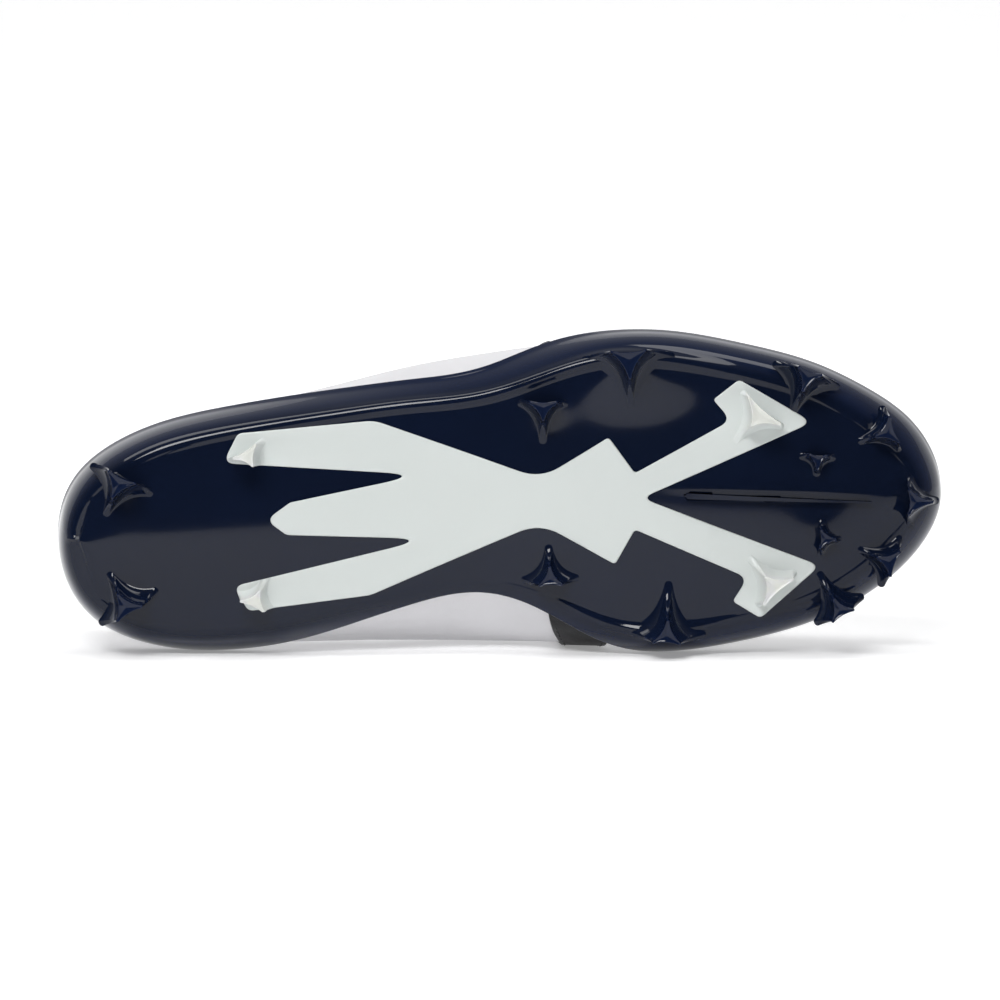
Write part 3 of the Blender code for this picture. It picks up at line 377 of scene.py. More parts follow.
@dataclass
class Last:
    """The form that the whole shoe is built on."""

    length: float = 300 * MM
    ball_width: float = 108 * MM
    heel_width: float = 78 * MM
    side_height: float = 30 * MM
    collar_height: float = 70 * MM
    instep_height: float = 84 * MM
    toe_spring: float = 15 * MM
    shell: float = 2.7 * MM
    base_inset_heel: float = 8 * MM
    base_inset_toe: float = 10 * MM
    spine_start: float = 0.13
    spine_end: float = 0.87
    lowest_rim: float = 0.12
    upper_wall: float = 2.0 * MM
    padding: float = 3.5 * MM
    throat_arch: float = 2.5 * MM
    throat_wing: float = 0.25
    base: Spline = field(init=False)
    side: Spline = field(init=False)
    side_up: Spline = field(init=False)
    rim: Spline = field(init=False)
    square: Spline = field(init=False)
    seat_up: Spline = field(init=False)
    top: Spline = field(init=False)

    def __post_init__(self) -> None:
        """Fits the closed curves round the shoe to the tables."""
        self.base, self.side = self.outline("base", True), self.outline("side", True)
        self.side_up, self.rim = self.outline("side_height"), self.outline("rim")
        self.square = self.outline("square")
        self.seat_up = Spline(*np.array(SEAT).T)
        station, along, across, collar, instep, lean = np.array(TOPLINE).T
        along, across = along * self.length, across * self.ball_width
        up = collar * self.collar_height + instep * self.instep_height
        rows = np.stack((along, across, up, np.radians(lean)), axis=1)
        rows = np.concatenate((rows, rows[1:-1] * (1, -1, 1, 1)))
        knots = angle_of(station)
        self.top = Spline(np.append(knots, TURN - knots[1:-1]), rows, TURN)

    def outline(self, column: str, signed: bool = False) -> Spline:
        """A closed curve round the shoe through one column of both outline tables.

        Args:
            column: The column's name.
            signed: True for a width, which is negative on the medial side.

        Returns:
            The column's values by angle.
        """
        index = OUTLINE_COLUMNS.index(column)
        lateral, medial = np.array(LATERAL), np.array(MEDIAL)
        knots = np.append(angle_of(lateral[:, 0]), TURN - angle_of(medial[:, 0]))
        values = np.append(lateral[:, index], medial[:, index] * (-1 if signed else 1))
        return Spline(knots, values, TURN)

    def width(self, share_across: Grid, share: Grid) -> Grid:
        """Half widths: the heel's follow its own width and the rest the ball's.

        Args:
            share_across: Values of an outline table.
            share: Shares of the way from heel to toe.

        Returns:
            Half widths in metres.
        """
        blend = ease(share, 0.10, 0.45)
        heel_unit = self.heel_width * TABLE_BALL_WIDTH / TABLE_HEEL_WIDTH
        return share_across * (heel_unit + (self.ball_width - heel_unit) * blend)

    def base_reach(self) -> float:
        """Length of the base, from its heel to its toe."""
        return self.length - self.base_inset_heel - self.base_inset_toe

    def seat(self, along: Grid) -> Grid:
        """Height of the last's underside at a place along the shoe."""
        return self.shell + self.toe_spring * self.seat_up(np.asarray(along) / self.length)

    def ground(self, along: Grid) -> Grid:
        """Height of the sole's ground face at a place along the shoe."""
        return self.seat(along) - self.shell

    def surface(self, angle: Grid, level: Grid) -> Grid:
        """Points of the last.

        From level 0 to 1 the section is a superellipse corner that ends upright, and from 1 to 2
        it is a stretch of an ellipse that curls over by the topline's lean.

        Args:
            angle: Angles round the shoe.
            level: Levels, which broadcast with the angles.

        Returns:
            Points with a last axis of three.
        """
        angle, level = paired(angle, level)
        share = share_of(angle)
        base_along = self.base_inset_heel + self.base_reach() * share
        base_across = self.width(self.base(angle), share)
        side_along = self.shell + (self.length - 2 * self.shell) * share
        side_across = self.width(self.side(angle), share)
        spine = self.spine_start + (self.spine_end - self.spine_start) * share
        spine_along = self.length * spine
        middle = self.width(self.base(angle) + self.base(TURN - angle), share) / 2
        under = np.clip(1 + level, 0, 1)
        along = spine_along + (base_along - spine_along) * under
        across = middle + (base_across - middle) * under
        corner = np.clip(level, 0, 1) * math.pi / 2
        power = 2 / self.square(angle)
        out = np.sin(corner) ** power
        along = along + (side_along - base_along) * out
        across = across + (side_across - base_across) * out
        side_up = self.side_up(angle) * self.side_height
        up = self.seat(along) + side_up * (1 - np.cos(corner) ** power)
        top = self.top(angle)
        curl = np.clip(level - 1, 0, 1) * top[..., 3]
        inward = (1 - np.cos(curl)) / (1 - np.cos(top[..., 3]))
        rise = np.sin(curl) / np.sin(top[..., 3])
        centre = np.interp(top[..., 0] / self.length, *np.array(TOPLINE_CENTRE).T)
        along = along + (top[..., 0] - side_along) * inward
        across = across + (top[..., 1] + self.ball_width * centre - side_across) * inward
        up = up + (top[..., 2] - self.seat(side_along) - side_up) * rise
        return standing(along, across, up)

    def outward(self, angle: Grid, level: Grid) -> Grid:
        """Normals of the last: the cross product of its slopes along angle and level.

        Args:
            angle: Angles round the shoe.
            level: Levels, which broadcast with the angles.

        Returns:
            Outward directions, one long, and straight down underfoot.
        """
        angle, level = paired(angle, level)
        step = 2e-3
        round_way = self.surface(angle + step, level) - self.surface(angle - step, level)
        normal = unit(np.cross(round_way, self.climb(angle, level)))
        return np.where((level < -0.01)[..., None], -UP, normal)

    def climb(self, angle: Grid, level: Grid) -> Grid:
        """Unit directions up the last's surface, from level to level."""
        step = 4e-3
        return unit(self.surface(angle, level + step) - self.surface(angle, level - step))

    def skin(self, angle: Grid, level: Grid, lift: Grid) -> Grid:
        """Points of the last, raised along its outward normals.

        Args:
            angle: Angles round the shoe.
            level: Levels, which broadcast with the angles.
            lift: How far each point is raised.

        Returns:
            Points with a last axis of three.
        """
        angle, level = paired(angle, level)
        lift = np.broadcast_to(np.asarray(lift, float), angle.shape)
        return self.surface(angle, level) + self.outward(angle, level) * lift[..., None]

    def rim_level(self, angle: Grid) -> Grid:
        """The level at which the sole's wall ends: where the corner has risen to the rim.

        Args:
            angle: Angles round the shoe.

        Returns:
            Levels from lowest_rim to 1.
        """
        reach = np.clip(1 - self.rim(angle) / self.side_up(angle), 0, 1)
        corner = np.arccos(reach ** (self.square(angle) / 2))
        return np.clip(corner / (math.pi / 2), self.lowest_rim, 1)

    def wall(self, angle: Grid, level: Grid) -> Grid:
        """The upper's thickness: more round the collar, where it is padded.

        Args:
            angle: Angles round the shoe.
            level: Levels, which broadcast with the angles.

        Returns:
            Thicknesses in metres.
        """
        high = np.clip((level - 1.55) / 0.35, 0, 1)
        back = np.clip((0.40 - share_of(angle)) / 0.08, 0, 1)
        return self.upper_wall + self.padding * high * back

    def roll(self, angle: Grid, count: int, squash: float = 1.0) -> tuple:
        """The rolled topline: half an ellipse, as wide as the wall, over the upper's edge.

        Args:
            angle: A row of angles.
            count: Points of the half ellipse, of which both ends are left out.
            squash: Its height over half its width.

        Returns:
            A grid of points, and the outward directions there.
        """
        bow = np.linspace(0, math.pi, count)[1:-1, None]
        half = self.wall(angle, 2.0) / 2
        edge, climb = self.outward(angle, 2.0), self.climb(angle, 1.99)
        points = (
            self.surface(angle, 2.0)
            + edge * (half * (np.cos(bow) - 1))[..., None]
            + climb * (half * np.sin(bow) * squash)[..., None]
        )
        return points, edge * np.cos(bow)[..., None] + climb * np.sin(bow)[..., None]

    def around(self, columns: int) -> Grid:
        """Angles all the way round, a little denser at heel and toe, first and last the same."""
        even = np.linspace(0, TURN, columns + 1)
        return even + 0.10 * np.sin(2 * even)

    def throat(self, angle: Grid, across: Grid) -> Grid:
        """Points across the throat: -1 to 1 bridges it with a low arch, and beyond that a row
        runs on under the facing on each side.

        Args:
            angle: One lateral angle for each row.
            across: Places across, one row of them for each angle.

        Returns:
            A grid of points.
        """
        angle = np.asarray(angle, float)[:, None]
        lateral, medial = self.surface(angle, 2.0), self.surface(TURN - angle, 2.0)
        bridge = lateral + (medial - lateral) * (1 - across[..., None]) / 2
        bridge[..., 2] += self.throat_arch * (1 - across**2)
        wing_level = 2 - np.clip(np.abs(across) - 1, 0, None) * self.throat_wing
        wing = self.surface(np.where(across > 0, angle, TURN - angle), wing_level)
        return np.where((np.abs(across) <= 1)[..., None], bridge, wing)


@dataclass(frozen=True)
class Placement:
    """How the standing shoe is laid down: a turn, given by its rows, then a move in metres."""

    turn: tuple = (
        (0.9986943, 0.0510799, 0.0007612),
        (0.0007612, -0.0297786, 0.9995562),
        (0.0510799, -0.9982505, -0.0297786),
    )
    move: tuple = (-0.1499941, -0.0454120, 0.0389097)

    def lay(self, points: Grid) -> Grid:
        """Points of the standing shoe, laid down."""
        return points @ np.array(self.turn).T + np.array(self.move)


PLACEMENT = Placement()


@dataclass
class Patch:
    """A grid of points, to be joined with others into one mesh.

    Its slot is a material's number, or one for each face, its tone a value for each point that
    the material reads, and its uv the place on the cloth.
    """

    points: Grid
    slot: object = 0
    uv: Optional[Grid] = None
    tone: Optional[Grid] = None

    def quads(self, first: int) -> Grid:
        """Corner numbers of the grid's quads.

        Args:
            first: The number of the grid's first point.

        Returns:
            A row of four for each quad.
        """
        rows, columns = self.points.shape[:2]
        start = np.arange(rows - 1)[:, None] * columns + np.arange(columns - 1)[None, :] + first
        corners = (start, start + 1, start + columns + 1, start + columns)
        return np.stack(corners, axis=-1).reshape(-1, 4)

    def slots(self) -> Grid:
        """The material number of each quad."""
        return np.broadcast_to(self.slot, np.subtract(self.points.shape[:2], 1)).reshape(-1)

    def tones(self) -> Grid:
        """The tone of each point, 0 where none is given."""
        tone = np.zeros(self.points.shape[:2]) if self.tone is None else self.tone
        return np.asarray(tone, float).reshape(-1)

    def cloth(self) -> Grid:
        """The grid's own UVs, or else its lengths in metres along its columns and rows."""
        grown = np.stack((arc_lengths(self.points, 1), arc_lengths(self.points)), axis=-1)
        return grown if self.uv is None else self.uv


def ring_cap(ring: Grid) -> Patch:
    """The fan that closes a ring of points, whose first and last are the same."""
    return Patch(np.stack((ring, np.broadcast_to(ring[:-1].mean(axis=0), ring.shape))))


def closed_pad(outer: Grid, inner: Grid, uv: Optional[Grid] = None) -> list:
    """Patches of a closed pad: two faces, and the four strips between their borders.

    Args:
        outer: A grid of points.
        inner: The same grid on the other face.
        uv: The cloth's place on both.

    Returns:
        Six patches.
    """
    strips = [np.stack((outer[i], inner[i])) for i in (0, -1)]
    strips += [np.stack((outer[:, i], inner[:, i])) for i in (0, -1)]
    return [Patch(outer, uv=uv), Patch(inner, uv=uv)] + [Patch(strip) for strip in strips]


def link(name: str, data: bpy.types.ID) -> Thing:
    """A new object in the scene.

    Args:
        name: Its name.
        data: Its mesh, light or camera.

    Returns:
        The object.
    """
    made = bpy.data.objects.new(name, data)
    bpy.context.scene.collection.objects.link(made)
    return made


def smooth(mesh: bpy.types.Mesh, sharp: float) -> None:
    """Shades a mesh smooth, but for its edges past an angle in degrees."""
    mesh.shade_smooth()
    mesh.set_sharp_from_angle(angle=math.radians(sharp))


def build(name: str, patches: Sequence[Patch], sharp: float = 40.0) -> Thing:
    """Joins patches into one closed mesh: equal points become one and faces turn outwards.

    Args:
        name: The object's name.
        patches: Grids whose borders meet, still in the standing shoe's frame.
        sharp: The angle in degrees past which an edge stays sharp.

    Returns:
        The new object, laid down.
    """
    counts = [patch.points[..., 0].size for patch in patches]
    firsts = np.concatenate(([0], np.cumsum(counts)[:-1]))
    points = PLACEMENT.lay(np.concatenate([patch.points.reshape(-1, 3) for patch in patches]))
    faces = np.concatenate([patch.quads(first) for patch, first in zip(patches, firsts)])
    slots = np.concatenate([patch.slots() for patch in patches])
    cloth = np.concatenate([patch.cloth().reshape(-1, 2) for patch in patches])
    tone = np.concatenate([patch.tones() for patch in patches])
    mesh = bpy.data.meshes.new(name)
    mesh.from_pydata(points.tolist(), [], faces.tolist())
    mesh.polygons.foreach_set("material_index", slots.astype(np.int32))
    layer = mesh.uv_layers.new(name="cloth")
    layer.data.foreach_set("uv", cloth[faces.reshape(-1)].astype(np.float32).reshape(-1))
    mark = mesh.attributes.new("tone", "FLOAT", "POINT")
    mark.data.foreach_set("value", tone.astype(np.float32))
    joined = bmesh.new()
    joined.from_mesh(mesh)
    bmesh.ops.remove_doubles(joined, verts=joined.verts, dist=WELD)
    bmesh.ops.recalc_face_normals(joined, faces=joined.faces)
    joined.to_mesh(mesh)
    joined.free()
    smooth(mesh, sharp)
    return link(name, mesh)


def carve(made: Thing, cuts: dict, sharp: float) -> None:
    """Cuts a piece with others, which are then thrown away.

    Args:
        made: The piece.
        cuts: Cutters by the Boolean that each list of them is used with.
        sharp: The angle in degrees past which an edge stays sharp.
    """
    for operation, cutters in cuts.items():
        for cutter in cutters:
            cut = made.modifiers.new(cutter.name, "BOOLEAN")
            cut.operation, cut.solver, cut.object = operation, "EXACT", cutter
    graph = bpy.context.evaluated_depsgraph_get()
    mesh = bpy.data.meshes.new_from_object(made.evaluated_get(graph))
    made.modifiers.clear()
    made.data = mesh
    mesh.name = made.name
    mesh.materials.clear()
    smooth(mesh, sharp)
    for cutter in [c for cutters in cuts.values() for c in cutters]:
        bpy.data.objects.remove(cutter, do_unlink=True)


def dress(
    made: Thing, finishes: Sequence[Material], nodes: Sequence[str] = ()
) -> None:
    """Gives a piece its materials, its body and the solids it stands for.

    Args:
        made: The piece.
        finishes: Its materials, in the order of its patches' slots.
        nodes: The solids that it replaces.
    """
    for finish in finishes:
        made.data.materials.append(finish)
    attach(made, "root")
    if nodes:
        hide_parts(*nodes)
    made.data.calc_loop_triangles()
    log.info("%s: %d triangles", made.name, len(made.data.loop_triangles))


def pillow(
    last: Last, angles: Grid, levels: Grid, base: float, thickness: float, edge: float
) -> list:
    """A thin panel on the last with rounded edges.

    Its height at a point is base + thickness * sqrt(1 - (1 - d / edge) squared), where d is the
    distance to the panel's nearest border, up to edge.

    Args:
        last: The form it lies on.
        angles: Angles on a grid.
        levels: Levels on the same grid.
        base: Height of its border over the last.
        thickness: Its own thickness.
        edge: How far in from the border it reaches that thickness.

    Returns:
        Patches of a closed panel.
    """
    grid = last.surface(angles, levels)
    normal = last.outward(angles, levels)
    along, upward = arc_lengths(grid, 1), arc_lengths(grid)
    inset = np.minimum(
        np.minimum(along, along[:, -1:] - along), np.minimum(upward, upward[-1:] - upward)
    )
    height = base + thickness * np.sqrt(1 - (1 - np.clip(inset / edge, 0, 1)) ** 2)
    uv = np.stack((along, upward), axis=-1)
    return closed_pad(grid + normal * height[..., None], grid - normal * PANEL_SINK, uv)


def clustered(count: int) -> Grid:
    """Places from 0 to 1, four of them close to each end so that a border can be rounded."""
    ends = np.array((0.0, 0.004, 0.010, 0.020))
    return np.concatenate((ends, np.linspace(0.035, 0.965, count), 1 - ends[::-1]))


def trough(points: Grid, path: Grid, width: float) -> Grid:
    """How much of a crease a point feels: a bell of its distance to the path, fading towards
    both of the path's ends.

    Args:
        points: Points of any grid.
        path: The crease's line, a row of points.
        width: Its width.

    Returns:
        A share from 0 to 1 for each point.
    """
    distance = np.linalg.norm(points.reshape(-1, 1, 3) - path[None], axis=-1)
    along = distance.argmin(axis=1) / (len(path) - 1)
    fade = np.sin(math.pi * np.clip(along, 0.02, 0.98)) ** 0.6
    return (bell(distance.min(axis=1), width) * fade).reshape(points.shape[:-1])


@dataclass
class StitchLine:
    """A row of stitches along a line on the shoe."""

    pitch: float = 2.6 * MM
    length: float = 1.9 * MM
    width: float = 0.55 * MM
    height: float = 0.42 * MM
    look_ahead: float = 0.4 * MM

    def patches(self, line: Grid, normal: Grid) -> list:
        """One small thread for each stitch.

        A stitch is an ellipsoid: x is the length times cos(v), the other two the width and the
        height times sin(v), with v from end to end and u round the thread.

        Args:
            line: Points along the seam.
            normal: Outward directions at those points.

        Returns:
            A patch for each stitch.
        """
        arc = arc_lengths(line)
        places = np.arange(self.pitch, arc[-1] - self.pitch / 2, self.pitch)
        centre, ahead, up = (
            np.stack([np.interp(at, arc, column) for column in columns.T], axis=-1)
            for at, columns in ((places, line), (places + self.look_ahead, line), (places, normal))
        )
        up, way = unit(up), unit(ahead - centre)
        v = np.linspace(0, math.pi, 6)[:, None]
        u = np.linspace(0, TURN, 7)[None, :]
        x = self.length / 2 * np.cos(v) * np.ones_like(u)
        y = self.width / 2 * np.sin(v) * np.cos(u)
        z = self.height / 2 * np.sin(v) * np.sin(u)
        axes = np.stack((way, np.cross(up, way), up), axis=1)
        grids = np.einsum("rcx,nxk->nrck", np.stack((x, y, z), axis=-1), axes)
        return [Patch(grid) for grid in grids + centre[:, None, None, :]]


class Graph:
    """A material's nodes, with short calls for the ones that the finishes share."""

    def __init__(self, name: str, pattern: Pattern = Pattern.SOLID) -> None:
        """Starts a material with one shader and the coordinates it reads.

        Args:
            name: The material's name.
            pattern: Whether its pattern fills space or follows the surface.
        """
        self.material = bpy.data.materials.new(name)
        self.material.use_nodes = True
        self.tree = self.material.node_tree
        self.tree.nodes.clear()
        self.shader = self.tree.nodes.new("ShaderNodeBsdfPrincipled")
        output = self.tree.nodes.new("ShaderNodeOutputMaterial")
        self.tree.links.new(self.shader.outputs["BSDF"], output.inputs["Surface"])
        place = self.tree.nodes.new("ShaderNodeTexCoord")
        self.place = place.outputs[pattern.value]
        self.solid = place.outputs[Pattern.SOLID.value]

    def add(self, kind: str, settings: dict, inputs: dict) -> bpy.types.Node:
        """A new node.

        Args:
            kind: Its type.
            settings: Its settings by name.
            inputs: A number, a colour or another socket for each input.

        Returns:
            The node.
        """
        node = self.tree.nodes.new(kind)
        for key, value in settings.items():
            setattr(node, key, value)
        self.feed(node, inputs)
        return node

    def feed(self, node: bpy.types.Node, inputs: dict) -> None:
        """Sets or links the named inputs of a node.

        Args:
            node: The node.
            inputs: A number, a colour or another socket for each input.
        """
        for key, value in inputs.items():
            if isinstance(value, Socket):
                self.tree.links.new(value, node.inputs[key])
            else:
                node.inputs[key].default_value = value

    def noise(
        self, scale: float, detail: float = 3.0, stretch: tuple = (1, 1, 1), solid: bool = False
    ) -> Socket:
        """A soft random pattern with features of about one over the scale, in metres.

        Args:
            scale: Features to a metre.
            detail: How many finer patterns lie over it.
            stretch: Scale of each axis.
            solid: True to fill space, also in a finish that follows the surface.

        Returns:
            Values round a half.
        """
        place = {"Vector": self.solid if solid else self.place, "Scale": stretch}
        mapped = self.add("ShaderNodeMapping", {}, place).outputs[0]
        inputs = {"Vector": mapped, "Scale": scale, "Detail": detail}
        return self.add("ShaderNodeTexNoise", {}, inputs).outputs["Fac"]

    def cells(self, scale: float, even: bool = False) -> Socket:
        """Distances to the middles of cells; even makes a regular lattice of them."""
        inputs = {"Vector": self.place, "Scale": scale, "Randomness": 0.0 if even else 1.0}
        return self.add("ShaderNodeTexVoronoi", {}, inputs).outputs["Distance"]

    def ramp(
        self, value: Socket, low: float, high: float, to_low: float, to_high: float
    ) -> Socket:
        """The value carried from one range to another, held at both ends.

        Args:
            value: The value to carry.
            low: Where the first range starts.
            high: Where it ends.
            to_low: The result up to low.
            to_high: The result from high on.

        Returns:
            The result's socket.
        """
        ranges = {"From Min": low, "From Max": high, "To Min": to_low, "To Max": to_high}
        return self.add("ShaderNodeMapRange", {}, {"Value": value} | ranges).outputs[0]

    def math(self, operation: str, one: object, two: object = 0.0) -> Socket:
        """One sum of two numbers or sockets."""
        return self.add("ShaderNodeMath", {"operation": operation}, {0: one, 1: two}).outputs[0]

    def blend(self, share: object, one: object, two: object) -> Socket:
        """A colour between two, by a share from 0 to 1."""
        settings = {"data_type": "RGBA"}
        return self.add("ShaderNodeMix", settings, {0: share, 6: one, 7: two}).outputs[2]

    def tone(self) -> Socket:
        """The piece's own tone attribute."""
        return self.add("ShaderNodeAttribute", {"attribute_name": "tone"}, {}).outputs["Fac"]

    def bump(
        self, height: Socket, depth: float, strength: float, under: Optional[Socket] = None
    ) -> Socket:
        """A normal that stands for a relief.

        Args:
            height: The relief's pattern.
            depth: How deep it is.
            strength: How much of it shows.
            under: A coarser relief that it lies over.

        Returns:
            The normal's socket.
        """
        inputs = {"Height": height, "Distance": depth, "Strength": strength}
        if under is not None:
            inputs["Normal"] = under
        return self.add("ShaderNodeBump", {}, inputs).outputs[0]

    def weave(self, pitch: float, solid: float = 0.5) -> tuple:
        """Over-and-under threads along both axes of the cloth.

        Args:
            pitch: Distance between threads.
            solid: How round each thread is.

        Returns:
            The relief of the threads, and a share that is 1 where warp lies on top.
        """
        split = self.add("ShaderNodeSeparateXYZ", {}, {0: self.place})
        u, v = (self.math("MULTIPLY", split.outputs[i], math.pi / pitch) for i in (0, 1))
        warp, weft = (self.math("ABSOLUTE", self.math("SINE", way)) for way in (u, v))
        cross = self.math("MULTIPLY", self.math("COSINE", u), self.math("COSINE", v))
        over = self.ramp(cross, -solid, solid, 0.0, 1.0)
        mix = self.add("ShaderNodeMix", {"data_type": "FLOAT"}, {0: over, 2: weft, 3: warp})
        return mix.outputs[0], over


@dataclass(frozen=True)
class MouldedGloss:
    """Hard glossy plastic straight from a polished mould."""

    name: str = "navy_gloss_plastic"
    colour: tuple = (0.0036, 0.0068, 0.0190, 1)
    # Painted lighter, bluer navy that stands for light on the stud tips and the side wall.
    painted_light: tuple = (0.0060, 0.0125, 0.0420, 1)
    roughness: float = 0.05
    gloss: tuple = (("IOR", 1.35), ("Coat Weight", 0.04), ("Coat Roughness", 0.02))

    def make(self) -> Material:
        """Near-black navy with a slight random cloudiness, painted lighter and bluer for light on
        the stud tips and the sole's side wall, and a slight mould wave.

        Returns:
            The material.
        """
        graph = Graph(self.name)
        cloud = graph.ramp(graph.noise(24.0, 2.0), 0.35, 0.7, 0.0, 0.12)
        # The tone attribute mixes in painted lighter navy for the light on the stud tips and the
        # side wall.
        share = graph.math("MAXIMUM", cloud, graph.ramp(graph.tone(), 0.0, 1.0, 0.0, 0.55))
        scuff = graph.ramp(graph.noise(900.0, 4.0, (1, 0.15, 1)), 0.60, 0.75, 0.0, 0.05)
        rough = graph.math("ADD", scuff, self.roughness)
        wave = graph.bump(graph.noise(16.0, 1.0), 0.5 * MM, 0.10)
        skin = graph.bump(graph.noise(1400.0, 2.0), 0.02 * MM, 0.05, wave)
        inputs = {"Base Color": graph.blend(share, self.colour, self.painted_light), "Roughness": rough}
        graph.feed(graph.shader, inputs | {"Normal": skin} | dict(self.gloss))
        return graph.material


@dataclass(frozen=True)
class MilkyPlastic:
    """Cloudy white plastic that lets a little light through."""

    name: str = "milky_plastic"
    colour: tuple = (0.640, 0.678, 0.664, 1)
    deep: tuple = (0.634, 0.673, 0.658, 1)
    pearl: tuple = (0.730, 0.725, 0.665, 1)
    rose: tuple = (0.705, 0.690, 0.712, 1)
    depth: tuple = (
        ("Subsurface Weight", 0.12),
        ("Subsurface Radius", (1.0, 1.1, 1.05)),
        ("Subsurface Scale", 0.001),
        ("Coat Weight", 0.12),
        ("Coat Roughness", 0.28),
    )

    def make(self) -> Material:
        """Faint green-white with cloudiness; tone gives the studs their warm pearl tints.

        Returns:
            The material.
        """
        graph = Graph(self.name)
        cloudy = graph.blend(graph.noise(35.0, 1.0), self.colour, self.deep)
        drift = graph.ramp(graph.noise(170.0, 1.0), 0.4, 0.6, 0.0, 1.0)
        tint = graph.blend(drift, self.pearl, self.rose)
        share = graph.math("MULTIPLY", graph.tone(), 0.6)
        wave = graph.bump(graph.noise(20.0, 1.0), 0.3 * MM, 0.08)
        skin = graph.bump(graph.noise(900.0, 2.0), 0.02 * MM, 0.02, wave)
        rough = graph.ramp(graph.noise(300.0, 3.0), 0.3, 0.7, 0.30, 0.34)
        inputs = {"Base Color": graph.blend(share, cloudy, tint), "Roughness": rough}
        graph.feed(graph.shader, inputs | {"Normal": skin} | dict(self.depth))
        return graph.material


@dataclass(frozen=True)
class SmoothSynthetic:
    """Coated sheet with a fine pressed grain and tiny wrinkles."""

    name: str
    colour: tuple
    soil: tuple
    roughness: float = 0.40
    coat: float = 0.15
    grain: float = 0.30
    specular: float = 0.5
    coat_roughness: float = 0.25

    def make(self) -> Material:
        """Grain from small cells, finer noise over it, and a little soiling in its colour.

        Returns:
            The material.
        """
        graph = Graph(self.name)
        soiled = graph.ramp(graph.noise(45.0, 5.0), 0.45, 0.80, 0.0, 0.55)
        pebbles = graph.bump(graph.cells(1500.0), 0.08 * MM, self.grain)
        fine = graph.bump(graph.noise(3500.0, 3.0), 0.03 * MM, 0.25, pebbles)
        wrinkle = graph.bump(graph.noise(110.0, 4.0, (1, 0.35, 0.35)), 0.25 * MM, 0.22, fine)
        low, high = self.roughness - 0.05, self.roughness + 0.08
        rough = graph.ramp(graph.noise(200.0, 4.0), 0.3, 0.7, low, high)
        inputs = {"Base Color": graph.blend(soiled, self.colour, self.soil), "Roughness": rough}
        gloss = {"Coat Weight": self.coat, "Coat Roughness": self.coat_roughness}
        inputs |= gloss | {"Specular IOR Level": self.specular, "Normal": wrinkle}
        graph.feed(graph.shader, inputs)
        return graph.material


@dataclass(frozen=True)
class HoledKnit:
    """Knitted mesh with rows of small open cells."""

    name: str = "vamp_mesh"
    colour: tuple = (0.62, 0.62, 0.64, 1)
    shade: tuple = (0.54, 0.54, 0.56, 1)
    hole: tuple = (0.16, 0.16, 0.17, 1)
    pitch: float = 1.5 * MM
    yarn: float = 0.42 * MM
    feel: tuple = (("Roughness", 0.85), ("Sheen Weight", 0.25), ("Sheen Roughness", 0.4))

    def make(self) -> Material:
        """Round cells on a lattice, dark at the bottom, between rounded and twisted yarns.

        Returns:
            The material.
        """
        graph = Graph(self.name, Pattern.SURFACE)
        cell = graph.cells(1 / self.pitch, True)
        open_share = graph.ramp(cell, 0.20, 0.34, 1.0, 0.0)
        yarn, _ = graph.weave(self.yarn)
        relief = graph.bump(graph.ramp(cell, 0.18, 0.45, 0.0, 1.0), 0.5 * MM, 0.8)
        twist = graph.bump(yarn, 0.12 * MM, 0.6, relief)
        cloud = graph.blend(graph.noise(30.0, 3.0, solid=True), self.colour, self.shade)
        colour = graph.blend(open_share, cloud, self.hole)
        graph.feed(graph.shader, {"Base Color": colour, "Normal": twist} | dict(self.feel))
        return graph.material


@dataclass(frozen=True)
class WovenCloth:
    """Plain-woven cloth: laces, linings and padding covers."""

    name: str
    colour: tuple
    shade: tuple
    pitch: float = 0.9 * MM
    feel: tuple = (("Roughness", 0.88), ("Sheen Weight", 0.3), ("Sheen Roughness", 0.45))

    def make(self) -> Material:
        """Threads over and under each other, darker in the gaps, with slight unevenness.

        Returns:
            The material.
        """
        graph = Graph(self.name, Pattern.SURFACE)
        thread, _ = graph.weave(self.pitch)
        gap = graph.ramp(thread, 0.0, 0.45, 1.0, 0.0)
        worn = graph.ramp(graph.noise(60.0, 4.0, solid=True), 0.4, 0.8, 0.0, 0.35)
        colour = graph.blend(graph.math("MAXIMUM", gap, worn), self.colour, self.shade)
        relief = graph.bump(thread, 0.20 * MM, 0.75)
        lumps = graph.bump(graph.noise(400.0, 3.0, solid=True), 0.10 * MM, 0.25, relief)
        graph.feed(graph.shader, {"Base Color": colour, "Normal": lumps} | dict(self.feel))
        return graph.material


@dataclass(frozen=True)
class PlainFinish:
    """A small part's finish: one colour, slightly mottled, with a fine bump."""

    name: str
    colour: tuple
    dull: tuple
    roughness: float = 0.6

    def make(self) -> Material:
        """Mottled colour over a fine bump.

        Returns:
            The material.
        """
        graph = Graph(self.name)
        mottle = graph.ramp(graph.noise(700.0, 3.0), 0.4, 0.7, 0.0, 1.0)
        colour = graph.blend(mottle, self.colour, self.dull)
        relief = graph.bump(graph.noise(2600.0, 2.0), 0.05 * MM, 0.3)
        inputs = {"Base Color": colour, "Roughness": self.roughness, "Normal": relief}
        graph.feed(graph.shader, inputs)
        return graph.material


